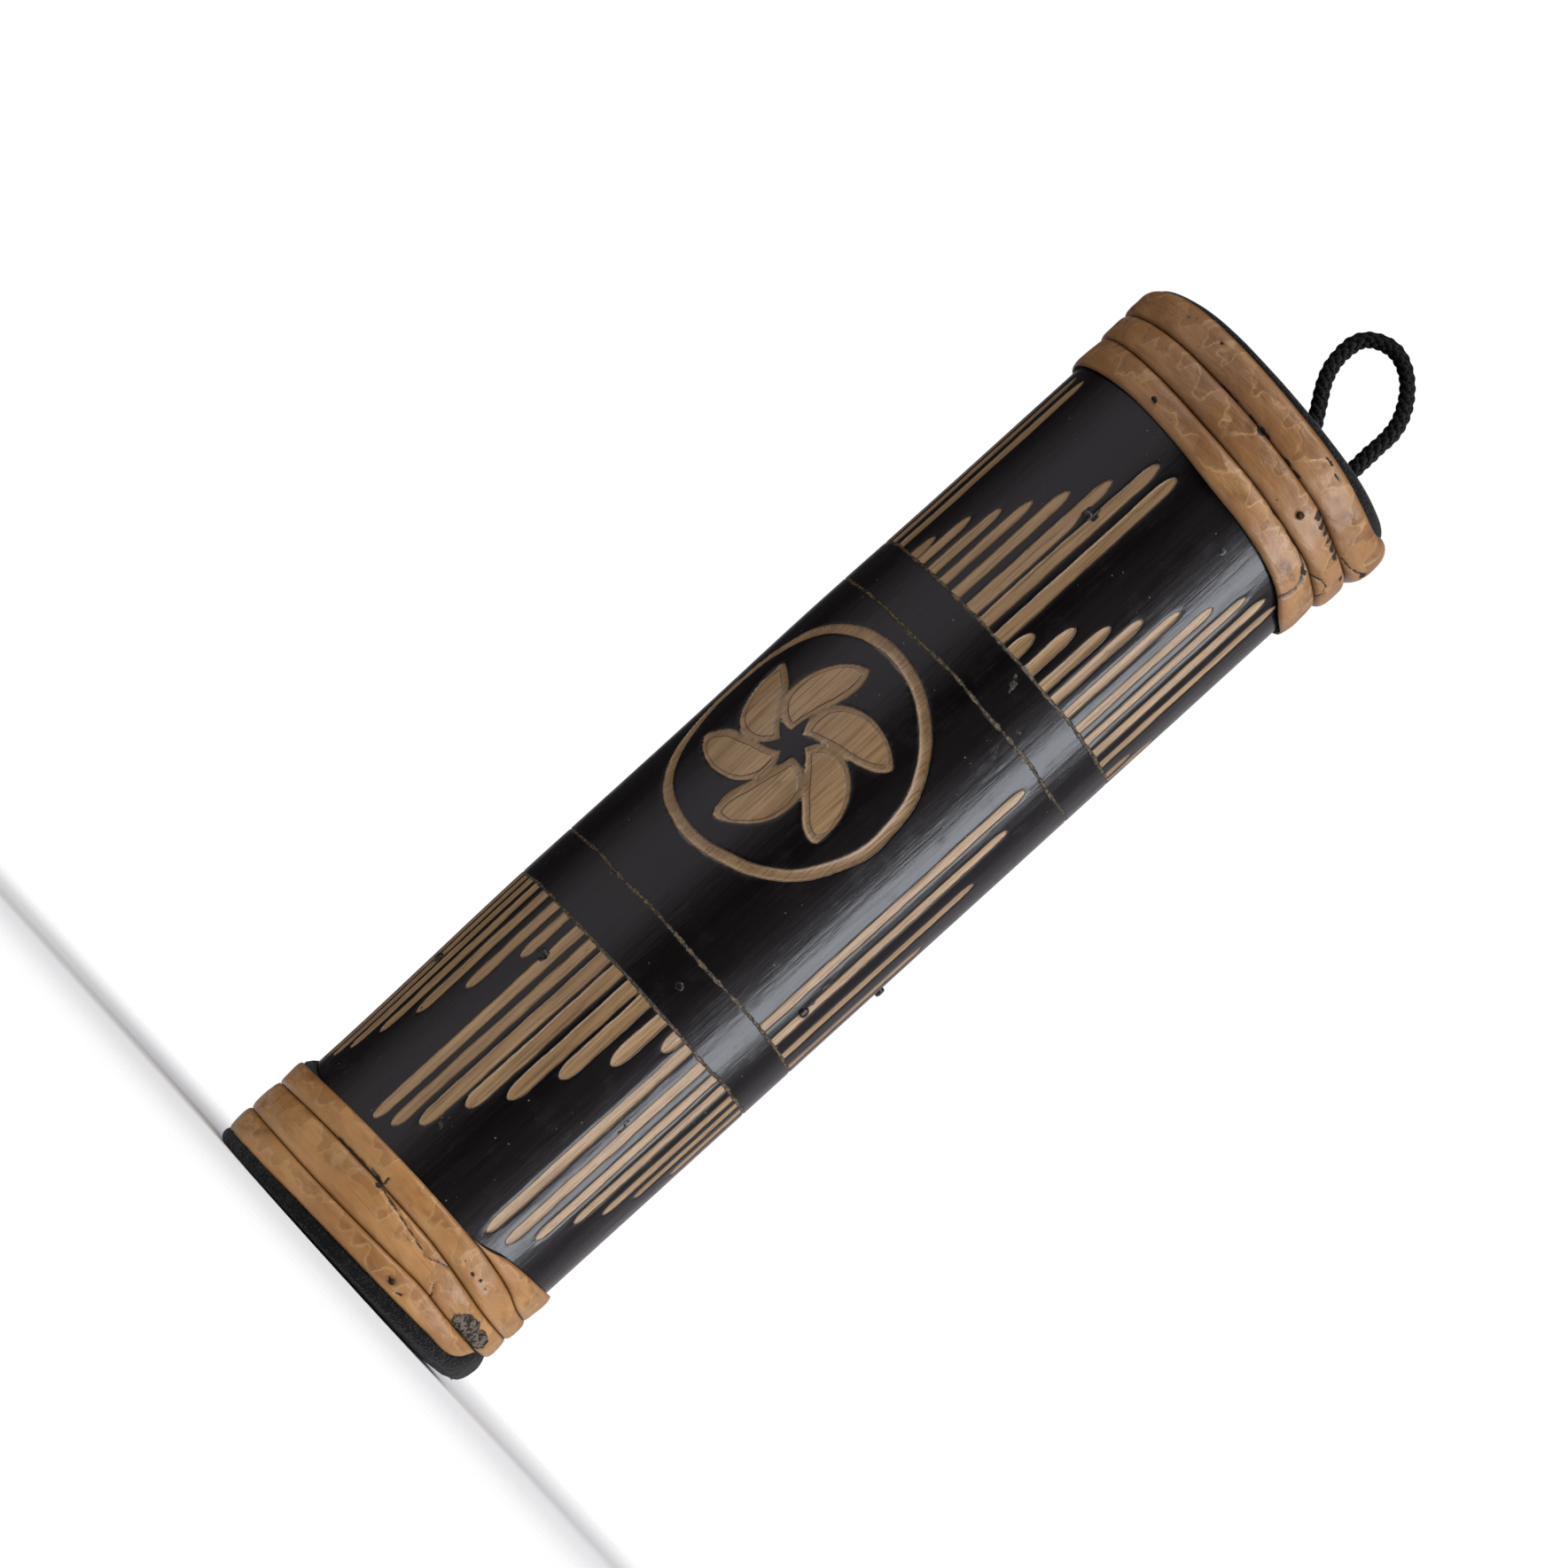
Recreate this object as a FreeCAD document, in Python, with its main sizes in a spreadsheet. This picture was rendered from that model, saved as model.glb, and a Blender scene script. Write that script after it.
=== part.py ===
import FreeCAD, Part
import math
import os
import re
import Sketcher

# A small rain shaker: a carved and lacquered bamboo tube that stands upright on its cloth base.
# Origin: centre of the flat base. +Z runs along the tube towards the hanging loop. Millimetres.
# Angles round the tube are measured from -Y, the front, and grow towards +X.

DIMENSIONS = [
    ("overall_height", 199.0, "flat base to crown of the top cover"),
    ("tube_radius", 25.6, "outside of the bamboo"),
    ("bore_radius", 21.0, "inside of the bamboo"),
    ("base_pad", 1.6, "padded cloth under the lower rim"),
    ("crown_pad", 1.8, "padded cloth over the upper rim"),
    ("crown_round", 1.6, "rounding of the crown cloth"),
    ("cloth", 0.6, "cloth skirt between tube and hoops"),
    ("skirt", 15.6, "length of each cloth skirt"),
    ("roll_radius", 27.4, "rolled edge of the base cloth"),
    ("roll_round", 1.0, "rounding of the rolled edge"),
    ("roll_top", 2.6, "where the rolled edge meets the lowest hoop"),
    ("disc_thickness", 4.0, "wooden end discs"),
    ("disc_gap", 0.05, "radial gap of a disc in the bore"),
    ("hoop_depth", 1.4, "thickness of the split rattan at its middle"),
    ("hoop_edge", 0.7, "thickness of the rattan at its two edges"),
    ("hoop_slit", 0.4, "gap where the two ends of a hoop meet"),
    ("slit_lean", 2.0, "sideways lean of that gap across the hoop"),
    ("crown_foot", 179.0, "lower edge of the lowest crown hoop"),
    ("score_depth", 0.4, "depth of the scored rings"),
    ("score_width", 0.7, "width of the scored rings"),
    ("pin_radius", 0.9, "baffle pins"),
    ("pin_reach", 6.0, "how far a pin passes the axis"),
    ("pin_top", 174.3, "height of the highest pin"),
    ("pin_drop", 11.87, "drop from one pin to the next"),
    ("pin_start", 24.1, "angle of the highest pin"),
    ("pin_turn", 41.7, "turn from one pin to the next"),
    ("pin_proud", 0.25, "how far most pins stand out of the tube"),
    ("pin_nub", 0.7, "how far the untrimmed pins stand out"),
    ("seed_radius", 1.9, "rattling seeds"),
    ("seed_gap", 0.1, "gap under and between the layers of seeds"),
    ("cord_radius", 1.3, "braided hanging cord"),
    ("cord_hole", 1.4, "holes for the cord"),
    ("cord_left", 7.6, "distance of the near leg from the axis"),
    ("cord_right", 15.0, "distance of the far leg from the axis"),
    ("knot_radius", 2.8, "stopper knots under the top disc"),
    ("knot_drop", 1.5, "knot centre below the top disc"),
    ("brad_shank", 0.3, "radius of a brad's shank"),
    ("brad_head", 0.6, "radius of a brad's head"),
    ("brad_length", 4.5, "length of a brad's shank"),
    ("brad_cap", 0.3, "thickness of a brad's head"),
]
SHEET = "Dimensions"
FULL_TURN = 360.0
OVERSHOOT = 2.0

SCORED_RINGS = [139.2, 130.4, 72.4, 62.6]
PIN_COUNT = 14
UNTRIMMED_PINS = (7, 8)
SEED_LAYERS = 3

# Split-rattan hoops from the lowest up: name, width, angle of the joint.
BASE_HOOPS = [("low", 4.6, 71.0), ("middle", 6.2, 21.0), ("high", 5.4, 27.0)]
CROWN_HOOPS = [("low", 5.4, 55.0), ("middle", 6.3, 67.0), ("high", 6.5, 81.0)]

# Channels between the pins that the seeds fall through: centre angle, places of one layer.
# A place is (distance from the axis, offset across the channel).
SINGLE_FILE = [(17.9, 0.0), (13.9, 0.0)]
TWO_ABREAST = [(17.8, -1.95), (17.8, 1.95), (13.8, -1.95), (13.8, 1.95), (9.9, 0.0)]
CHANNELS = [
    (-129.5, SINGLE_FILE), (-87.8, SINGLE_FILE), (-46.1, SINGLE_FILE),
    (-4.4, SINGLE_FILE), (37.3, SINGLE_FILE), (71.4, TWO_ABREAST),
    (113.1, TWO_ABREAST), (154.8, TWO_ABREAST), (188.8, SINGLE_FILE),
]

# Brads that hold the hoops: name, angle, height.
BRADS = [
    ("crown_brad_right", 30.9, 186.9),
    ("crown_brad_left", -30.2, 182.2),
    ("base_brad", 16.0, 5.0),
]

# Route of the hanging loop, from knot to knot.
CORD_ROUTE = [
    (7.6, 0.0, 193.2), (7.9, 0.1, 198.4), (4.7, 0.3, 203.4), (1.3, 0.5, 208.1),
    (0.2, 0.7, 212.4), (0.7, 0.7, 217.0), (5.2, 0.4, 219.5), (9.6, 0.1, 218.2),
    (13.0, -0.1, 214.9), (15.1, -0.3, 210.6), (15.0, -0.2, 205.5), (15.2, 0.0, 199.0),
    (15.0, 0.1, 193.2),
]
ARC_SHARE = 0.45

doc = FreeCAD.newDocument("rain_shaker")
sheet = doc.addObject("Spreadsheet::Sheet", SHEET)
for row, (alias, value, meaning) in enumerate(DIMENSIONS, start=1):
    sheet.set(f"A{row}", meaning)
    sheet.set(f"B{row}", str(value))
    sheet.setAlias(f"B{row}", alias)
doc.recompute()
ALIASES = {alias for alias, value, meaning in DIMENSIONS}
parts = []


def size(alias):
    """The value of one cell."""
    return float(sheet.get(alias))


def expression(formula):
    """A formula over aliases, written as an expression over the sheet."""
    return re.sub(r"[a-z_]+", lambda m: f"{SHEET}.{m[0]}" if m[0] in ALIASES else m[0], formula)


def value_of(formula):
    """The present value of a formula over aliases."""
    return float(sheet.evalExpression(formula))


def outward(angle):
    """Unit vector pointing out of the tube at an angle round it."""
    turn = math.radians(angle)
    return FreeCAD.Vector(math.sin(turn), -math.cos(turn), 0.0)


def keep(item, label):
    item.Label = label
    parts.append(item)
    return item


def new_body(label):
    return keep(doc.addObject("PartDesign::Body", label), label)


def new_sketch(body, plane, name):
    """A sketch on one of the body's own origin planes."""
    sketch = body.newObject("Sketcher::SketchObject", name)
    support = next(p for p in body.Origin.OriginFeatures if p.Role == plane)
    sketch.AttachmentSupport = [(support, "")]
    sketch.MapMode = "FlatFace"
    return sketch


def pin_down(sketch, index, corner, kind, formula):
    """Fix one coordinate of a line's start point to a formula."""
    axis = -2 if kind == "DistanceX" else -1
    if formula == "0":
        sketch.addConstraint(Sketcher.Constraint("PointOnObject", index, 1, axis))
        return
    number = sketch.addConstraint(Sketcher.Constraint(kind, -1, 1, index, 1, corner))
    sketch.setExpression(f"Constraints[{number}]", expression(formula))


def draw_outline(sketch, corners, bulge=None):
    """A closed outline through corners given as formulas. bulge = (side, rise) bows one side."""
    points = [FreeCAD.Vector(value_of(x), value_of(y), 0.0) for x, y in corners]
    count = len(points)
    for index in range(count):
        start, end = points[index], points[(index + 1) % count]
        if bulge and index == bulge[0]:
            middle = (start + end) * 0.5 + FreeCAD.Vector(value_of(bulge[1]), 0.0, 0.0)
            sketch.addGeometry(Part.Arc(start, middle, end), False)
        else:
            sketch.addGeometry(Part.LineSegment(start, end), False)
    for index in range(count):
        following = (index + 1) % count
        sketch.addConstraint(Sketcher.Constraint("Coincident", index, 2, following, 1))
    for index, (x, y) in enumerate(corners):
        pin_down(sketch, index, points[index].x, "DistanceX", x)
        pin_down(sketch, index, points[index].y, "DistanceY", y)
    doc.recompute()
    return sketch


def draw_circles(sketch, centres, radius):
    """Circles centred on the sketch's X axis."""
    for index, distance in enumerate(centres):
        middle = FreeCAD.Vector(value_of(distance), 0.0, 0.0)
        normal = FreeCAD.Vector(0.0, 0.0, 1.0)
        sketch.addGeometry(Part.Circle(middle, normal, value_of(radius)), False)
        sketch.addConstraint(Sketcher.Constraint("PointOnObject", index, 3, -1))
        if distance == "0":
            sketch.addConstraint(Sketcher.Constraint("PointOnObject", index, 3, -2))
        else:
            place = Sketcher.Constraint("DistanceX", -1, 1, index, 3, middle.x)
            number = sketch.addConstraint(place)
            sketch.setExpression(f"Constraints[{number}]", expression(distance))
        number = sketch.addConstraint(Sketcher.Constraint("Radius", index, value_of(radius)))
        sketch.setExpression(f"Constraints[{number}]", expression(radius))
    doc.recompute()
    return sketch


def turned(body, sketch, kind, name):
    """Revolve or groove a sketch about the body's Z axis."""
    feature = body.newObject(kind, name)
    feature.Profile = sketch
    feature.ReferenceAxis = (sketch, ["V_Axis"])
    feature.Angle = FULL_TURN
    doc.recompute()
    return feature


def pocket(body, sketch, name, length=None, up=True):
    """Cut a sketch through the body, or to a length, and make sure that it cut something."""
    before = body.Shape.Volume
    feature = body.newObject("PartDesign::Pocket", name)
    feature.Profile = sketch
    feature.Reversed = up
    if length is None:
        feature.Type = "ThroughAll"
    else:
        feature.Type = "Length"
        feature.setExpression("Length", expression(length))
    doc.recompute()
    if not body.Shape.Volume < before - 0.01:
        raise RuntimeError(f"{name} cuts nothing")
    return feature


def round_edges(body, base, wanted, radius, name):
    """Fillet the circular edges that lie at the wanted (radius, height) pairs."""
    chosen = []
    for index, edge in enumerate(base.Shape.Edges, start=1):
        if not isinstance(edge.Curve, Part.Circle):
            continue
        for around, height in wanted:
            near = abs(edge.Curve.Radius - around) < 0.01
            if near and abs(edge.Curve.Center.z - height) < 0.01:
                chosen.append(f"Edge{index}")
    feature = body.newObject("PartDesign::Fillet", name)
    feature.Base = (base, chosen)
    feature.setExpression("Radius", expression(radius))
    doc.recompute()
    return feature


def radial_rod(name, radius, length, angle, height, start):
    """A cylinder that points out of the tube, from a distance from the axis."""
    rod = doc.addObject("Part::Cylinder", name)
    rod.setExpression("Radius", expression(radius))
    rod.setExpression("Height", expression(length))
    direction = outward(angle)
    place = direction * value_of(start) + FreeCAD.Vector(0.0, 0.0, height)
    turn = FreeCAD.Rotation(FreeCAD.Vector(0.0, 0.0, 1.0), direction)
    rod.Placement = FreeCAD.Placement(place, turn)
    return rod


def pin_places():
    """Angle and height of every pin, from the highest down one helix."""
    for number in range(PIN_COUNT):
        angle = size("pin_start") - number * size("pin_turn")
        yield number, angle, size("pin_top") - number * size("pin_drop")


def make_tube():
    """The bamboo tube with its scored rings and the drilled pin holes."""
    blank = doc.addObject("PartDesign::Body", "tube_blank")
    wall = draw_outline(new_sketch(blank, "XZ_Plane", "tube_wall"), [
        ("bore_radius", "base_pad"),
        ("tube_radius", "base_pad"),
        ("tube_radius", "overall_height - crown_pad"),
        ("bore_radius", "overall_height - crown_pad"),
    ])
    turned(blank, wall, "PartDesign::Revolution", "tube_turned")
    before = blank.Shape.Volume
    for number, height in enumerate(SCORED_RINGS, start=1):
        score = draw_outline(new_sketch(blank, "XZ_Plane", f"score_{number}"), [
            ("tube_radius - score_depth", str(height)),
            ("tube_radius + score_depth", f"{height} - score_width"),
            ("tube_radius + score_depth", f"{height} + score_width"),
        ])
        turned(blank, score, "PartDesign::Groove", f"score_cut_{number}")
    if not blank.Shape.Volume < before:
        raise RuntimeError("the scored rings cut nothing")
    drills = []
    for number, angle, height in pin_places():
        name = f"pin_hole_{number + 1:02d}"
        drills.append(radial_rod(name, "pin_radius", "tube_radius", angle, height, "pin_reach"))
    holes = doc.addObject("Part::MultiFuse", "pin_holes")
    holes.Shapes = drills
    tube = keep(doc.addObject("Part::Cut", "bamboo_tube"), "bamboo_tube")
    tube.Base = blank
    tube.Tool = holes
    doc.recompute()


def make_pins():
    """Baffle pins that cross the bore and break the fall of the seeds."""
    for number, angle, height in pin_places():
        proud = "pin_nub" if number in UNTRIMMED_PINS else "pin_proud"
        name = f"baffle_pin_{number + 1:02d}"
        length = f"pin_reach + tube_radius + {proud}"
        keep(radial_rod(name, "pin_radius", length, angle, height, "0 - pin_reach"), name)


def make_discs():
    """The wooden discs that close the bore; the upper one is drilled for the cord."""
    for label, foot in (("bottom_disc", "base_pad"),
                        ("top_disc", "overall_height - crown_pad - disc_thickness")):
        body = new_body(label)
        edge = draw_circles(new_sketch(body, "XY_Plane", f"{label}_edge"),
                            ["0"], "bore_radius - disc_gap")
        pad = body.newObject("PartDesign::Pad", f"{label}_pad")
        pad.Profile = edge
        pad.setExpression("Length", expression("disc_thickness"))
        doc.recompute()
        if label == "top_disc":
            holes = draw_circles(new_sketch(body, "XY_Plane", f"{label}_holes"),
                                 ["cord_left", "cord_right"], "cord_hole")
            pocket(body, holes, f"{label}_drilled")
        body.setExpression("Placement.Base.z", expression(foot))
        doc.recompute()


def make_covers():
    """The cloth covers: each goes over one end of the tube and runs down under the hoops."""
    base = new_body("bottom_cover")
    outline = draw_outline(new_sketch(base, "XZ_Plane", "bottom_cover_outline"), [
        ("0", "0"),
        ("roll_radius", "0"),
        ("roll_radius", "roll_top"),
        ("tube_radius + cloth", "roll_top"),
        ("tube_radius + cloth", "base_pad + skirt"),
        ("tube_radius", "base_pad + skirt"),
        ("tube_radius", "base_pad"),
        ("0", "base_pad"),
    ])
    solid = turned(base, outline, "PartDesign::Revolution", "bottom_cover_turned")
    rims = [(size("roll_radius"), 0.0), (size("roll_radius"), size("roll_top"))]
    round_edges(base, solid, rims, "roll_round", "bottom_cover_roll")

    crown = new_body("top_cover")
    outline = draw_outline(new_sketch(crown, "XZ_Plane", "top_cover_outline"), [
        ("0", "overall_height - crown_pad"),
        ("tube_radius", "overall_height - crown_pad"),
        ("tube_radius", "overall_height - crown_pad - skirt"),
        ("tube_radius + cloth", "overall_height - crown_pad - skirt"),
        ("tube_radius + cloth", "overall_height"),
        ("0", "overall_height"),
    ])
    solid = turned(crown, outline, "PartDesign::Revolution", "top_cover_turned")
    rims = [(size("tube_radius") + size("cloth"), size("overall_height"))]
    round_edges(crown, solid, rims, "crown_round", "top_cover_round")
    holes = draw_circles(new_sketch(crown, "XY_Plane", "top_cover_holes"),
                         ["cord_left", "cord_right"], "cord_hole")
    pocket(crown, holes, "top_cover_pierced")


def make_hoop(label, foot, width, joint):
    """One split-rattan hoop: flat inside, bowed outside, with a slanted gap at its joint."""
    body = new_body(label)
    section = draw_outline(new_sketch(body, "XZ_Plane", f"{label}_section"), [
        ("tube_radius + cloth", "0"),
        ("tube_radius + cloth + hoop_edge", "0"),
        ("tube_radius + cloth + hoop_edge", str(width)),
        ("tube_radius + cloth", str(width)),
    ], bulge=(1, "hoop_depth - hoop_edge"))
    rise = "(hoop_depth - hoop_edge)"
    radius = f"({width}^2 / 4 + {rise}^2) / (2 * {rise})"
    number = section.addConstraint(Sketcher.Constraint("Radius", 1, value_of(radius)))
    section.setExpression(f"Constraints[{number}]", expression(radius))
    turned(body, section, "PartDesign::Revolution", f"{label}_bent")
    gap = draw_outline(new_sketch(body, "XZ_Plane", f"{label}_gap"), [
        ("0 - slit_lean / 2 - hoop_slit", str(-OVERSHOOT)),
        ("0 - slit_lean / 2", str(-OVERSHOOT)),
        ("slit_lean / 2 + hoop_slit", f"{width} + {OVERSHOOT}"),
        ("slit_lean / 2", f"{width} + {OVERSHOOT}"),
    ])
    pocket(body, gap, f"{label}_joint", "tube_radius * 2", up=True)
    turn = FreeCAD.Rotation(FreeCAD.Vector(0.0, 0.0, 1.0), joint)
    body.Placement = FreeCAD.Placement(FreeCAD.Vector(0.0, 0.0, foot), turn)
    doc.recompute()


def make_hoops():
    for end, foot, hoops in (("base", size("roll_top"), BASE_HOOPS),
                             ("crown", size("crown_foot"), CROWN_HOOPS)):
        for name, width, joint in hoops:
            make_hoop(f"{end}_hoop_{name}", foot, width, joint)
            foot += width


def make_brads():
    """Small brads driven through the hoops into the bamboo."""
    for label, angle, height in BRADS:
        surface = "tube_radius + cloth + hoop_depth"
        head = radial_rod(f"{label}_head", "brad_head", "brad_cap", angle, height,
                          f"{surface} - brad_cap / 2")
        shank = radial_rod(f"{label}_shank", "brad_shank", "brad_length", angle, height,
                           f"{surface} - brad_length")
        brad = keep(doc.addObject("Part::Fuse", label), label)
        brad.Base = head
        brad.Tool = shank
    doc.recompute()


def cord_path(points):
    """Straight runs joined by tangent arcs, each as large as its two runs allow."""
    corners = [FreeCAD.Vector(*point) for point in points]
    edges = []
    start = corners[0]
    for before, corner, after in zip(corners, corners[1:], corners[2:]):
        back, ahead = before - corner, after - corner
        cut = ARC_SHARE * min(back.Length, ahead.Length)
        turn = math.pi - back.getAngle(ahead)
        print(f"cord bend radius {cut / math.tan(turn / 2):.1f} mm")
        back.normalize()
        ahead.normalize()
        first, last = corner + back * cut, corner + ahead * cut
        inward = back + ahead
        inward.normalize()
        depth = cut * math.tan((math.pi - turn) / 2)
        reach = cut / math.cos((math.pi - turn) / 2)
        middle = corner + inward * (reach - depth)
        edges.append(Part.LineSegment(start, first).toShape())
        edges.append(Part.Arc(first, middle, last).toShape())
        start = last
    edges.append(Part.LineSegment(start, corners[-1]).toShape())
    return Part.Wire(edges)


def make_cord():
    """The braided hanging loop and the stopper knots that hold it under the top disc."""
    path = cord_path(CORD_ROUTE)
    first, second = (FreeCAD.Vector(*point) for point in CORD_ROUTE[:2])
    ring = Part.Circle(first, second - first, size("cord_radius")).toShape()
    tube = path.makePipeShell([Part.Wire([ring])], True, False)
    expected = math.pi * size("cord_radius") ** 2 * path.Length
    print(f"cord length {path.Length:.1f} mm, volume {tube.Volume / expected:.4f} of expected")
    cord = keep(doc.addObject("Part::Feature", "cord_loop"), "cord_loop")
    cord.Shape = tube

    underside = "overall_height - crown_pad - disc_thickness"
    for label, across in (("loop_knot_left", "cord_left"), ("loop_knot_right", "cord_right")):
        ball = doc.addObject("Part::Sphere", f"{label}_ball")
        ball.setExpression("Radius", expression("knot_radius"))
        ball.setExpression("Placement.Base.x", expression(across))
        ball.setExpression("Placement.Base.z", expression(f"{underside} - knot_drop"))
        block = doc.addObject("Part::Box", f"{label}_block")
        for side in ("Length", "Width", "Height"):
            block.setExpression(side, expression("knot_radius * 4"))
        block.setExpression("Placement.Base.x", expression(f"{across} - knot_radius * 2"))
        block.setExpression("Placement.Base.y", expression("0 - knot_radius * 2"))
        block.setExpression("Placement.Base.z", expression(underside))
        knot = keep(doc.addObject("Part::Cut", label), label)
        knot.Base = ball
        knot.Tool = block
    doc.recompute()


def make_seeds():
    """The rattling seeds: one group for each channel, lying on the bottom disc."""
    pitch = 2 * size("seed_radius") + size("seed_gap")
    floor = size("base_pad") + size("disc_thickness") + size("seed_gap") + size("seed_radius")
    for number, (angle, places) in enumerate(CHANNELS, start=1):
        out, across = outward(angle), outward(angle + 90.0)
        seeds = []
        for layer in range(SEED_LAYERS):
            for distance, offset in places:
                seed = doc.addObject("Part::Sphere", f"seed_{number}_{len(seeds) + 1}")
                seed.setExpression("Radius", expression("seed_radius"))
                lift = FreeCAD.Vector(0.0, 0.0, floor + layer * pitch)
                place = out * distance + across * offset + lift
                seed.Placement = FreeCAD.Placement(place, FreeCAD.Rotation())
                seeds.append(seed)
        group = keep(doc.addObject("Part::Compound", f"seeds_{number}"), f"seeds_{number}")
        group.Links = seeds
    doc.recompute()


def check_and_export():
    """Refuse any failed feature, then write one STEP file for each piece."""
    doc.recompute()
    for item in doc.Objects:
        if "Invalid" in item.State or "Error" in item.State:
            raise RuntimeError(f"{item.Label} failed: {item.State}")
    for item in parts:
        if item.Shape.isNull() or not item.Shape.isValid():
            raise RuntimeError(f"{item.Label} has no valid shape")
    os.makedirs("parts", exist_ok=True)
    for item in parts:
        item.Shape.exportStep(f"parts/{item.Label}.step")
        print(f"{item.Label}: {len(item.Shape.Solids)} solid(s), {item.Shape.Volume:.1f} mm3")


make_tube()
make_pins()
make_discs()
make_covers()
make_hoops()
make_brads()
make_cord()
make_seeds()
check_and_export()
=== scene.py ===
import math

import bpy
import numpy as np
from mathutils import Matrix, Vector


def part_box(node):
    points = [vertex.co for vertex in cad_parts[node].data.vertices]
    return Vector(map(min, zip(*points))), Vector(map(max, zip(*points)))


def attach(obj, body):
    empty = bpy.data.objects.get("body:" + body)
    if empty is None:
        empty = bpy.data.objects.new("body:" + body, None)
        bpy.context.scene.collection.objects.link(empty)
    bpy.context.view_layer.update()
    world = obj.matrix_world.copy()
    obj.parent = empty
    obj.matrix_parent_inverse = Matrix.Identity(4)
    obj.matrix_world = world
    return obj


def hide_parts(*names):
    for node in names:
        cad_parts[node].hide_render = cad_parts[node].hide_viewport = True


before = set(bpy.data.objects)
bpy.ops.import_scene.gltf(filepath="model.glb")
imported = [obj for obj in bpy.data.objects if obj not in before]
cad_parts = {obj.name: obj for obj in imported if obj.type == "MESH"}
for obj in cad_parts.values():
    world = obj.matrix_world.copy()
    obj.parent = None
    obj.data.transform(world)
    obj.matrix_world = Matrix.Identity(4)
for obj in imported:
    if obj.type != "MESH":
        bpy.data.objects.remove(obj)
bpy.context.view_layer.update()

# A small carved rain shaker. Shapes are worked out in millimetres and put into metres by MM.
# Angles round the tube are in degrees from -Y, the front, and grow towards +X.
MM = 0.001
BODY = "tube"

# Route of the hanging loop from knot to knot, in metres.
CORD_ROUTE = [
    (0.0076, 0.0, 0.1932), (0.0079, 0.0001, 0.1984), (0.0047, 0.0003, 0.2034),
    (0.0013, 0.0005, 0.2081), (0.0002, 0.0007, 0.2124), (0.0007, 0.0007, 0.2170),
    (0.0052, 0.0004, 0.2195), (0.0096, 0.0001, 0.2182), (0.0130, -0.0001, 0.2149),
    (0.0151, -0.0003, 0.2106), (0.0150, -0.0002, 0.2055), (0.0152, 0.0, 0.1990),
    (0.0150, 0.0001, 0.1932),
]


def box_mm(node):
    """Lowest and highest corners of a CAD node, in millimetres."""
    low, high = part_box(node)
    return [v / MM for v in low], [v / MM for v in high]


tube_low, tube_high = box_mm("bamboo_tube")
TUBE_R = tube_high[0]
TUBE_FOOT, TUBE_TOP = tube_low[2], tube_high[2]
BORE_R = box_mm("bottom_disc")[1][0]
CLOTH = 0.6
HOOP_IN = TUBE_R + CLOTH
LIFT = 0.02
# Distances from marks for places where there are none, in mm.
FAR, CLEAR = 50.0, 9.0


# ---------------------------------------------------------------- shapes in numbers

def outward(angle):
    """Unit vectors out of the tube at angles in degrees, one row each."""
    turn = np.radians(np.asarray(angle, float))
    return np.stack([np.sin(turn), -np.cos(turn), np.zeros_like(turn)], axis=-1)


def on_tube(angle, height, radius):
    """Points at angles, heights and distances from the axis."""
    points = outward(angle) * np.asarray(radius, float)[..., None]
    points[..., 2] = height
    return points


def waves(points, size, seed, count=14):
    """Smooth seeded noise from about -1 to 1, with bumps of the given size."""
    rng = np.random.default_rng(seed)
    total = np.zeros(points.shape[:-1])
    for _ in range(count):
        direction = rng.normal(size=3)
        direction *= 2 * math.pi / (size * rng.uniform(0.75, 1.5) * np.linalg.norm(direction))
        total += np.sin(points @ direction + rng.uniform(0, 2 * math.pi))
    return total / math.sqrt(count)


def smooth(low, high, value):
    """0 below low, 1 above high, and an even rise between."""
    t = np.clip((value - low) / (high - low), 0.0, 1.0)
    return t * t * (3 - 2 * t)


def wrap(angle):
    """An angle, or a difference of angles, from -180 to 180."""
    return (np.asarray(angle, float) + 180.0) % 360.0 - 180.0


def round_curve(stations):
    """A smooth closed curve through (angle, value) stations round the tube."""
    stations = sorted(stations)
    angle = np.array([a for a, v in stations], float)
    value = np.array([v for a, v in stations], float)
    angle = np.concatenate([angle[-2:] - 360.0, angle, angle[:2] + 360.0])
    value = np.concatenate([value[-2:], value, value[:2]])
    slope = np.gradient(value, angle)

    def at(where):
        where = (np.asarray(where, float) - angle[1]) % 360.0 + angle[1]
        k = np.clip(np.searchsorted(angle, where) - 1, 0, len(angle) - 2)
        step = angle[k + 1] - angle[k]
        t = (where - angle[k]) / step
        start = (2 * t**3 - 3 * t**2 + 1) * value[k] + (t**3 - 2 * t**2 + t) * step * slope[k]
        end = (3 * t**2 - 2 * t**3) * value[k + 1] + (t**3 - t**2) * step * slope[k + 1]
        return start + end

    return at


def spread(low, high, count, extra):
    """Stations from low to high, closer together where the density extra(x) is high."""
    fine = np.linspace(low, high, 4000)
    weight = 1.0 + extra(fine)
    total = np.concatenate([[0.0], np.cumsum((weight[1:] + weight[:-1]) / 2)])
    return np.interp(np.linspace(0.0, total[-1], count), total, fine)


def line_gap(angle, height, stations, radius=TUBE_R):
    """Distance in mm from points on the tube to a drawn line through (angle, height) stations."""
    best = np.full(np.shape(angle), 1e3)
    for (a0, z0), (a1, z1) in zip(stations, stations[1:]):
        du = math.radians(a1 - a0) * radius
        dz = z1 - z0
        u = np.radians(wrap(angle - a0)) * radius
        t = np.clip((u * du + (height - z0) * dz) / (du * du + dz * dz), 0.0, 1.0)
        best = np.minimum(best, np.hypot(u - t * du, height - z0 - t * dz))
    return best


# ---------------------------------------------------------------- meshes

# A shape is (points in millimetres, faces, named numbers for each point).

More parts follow.
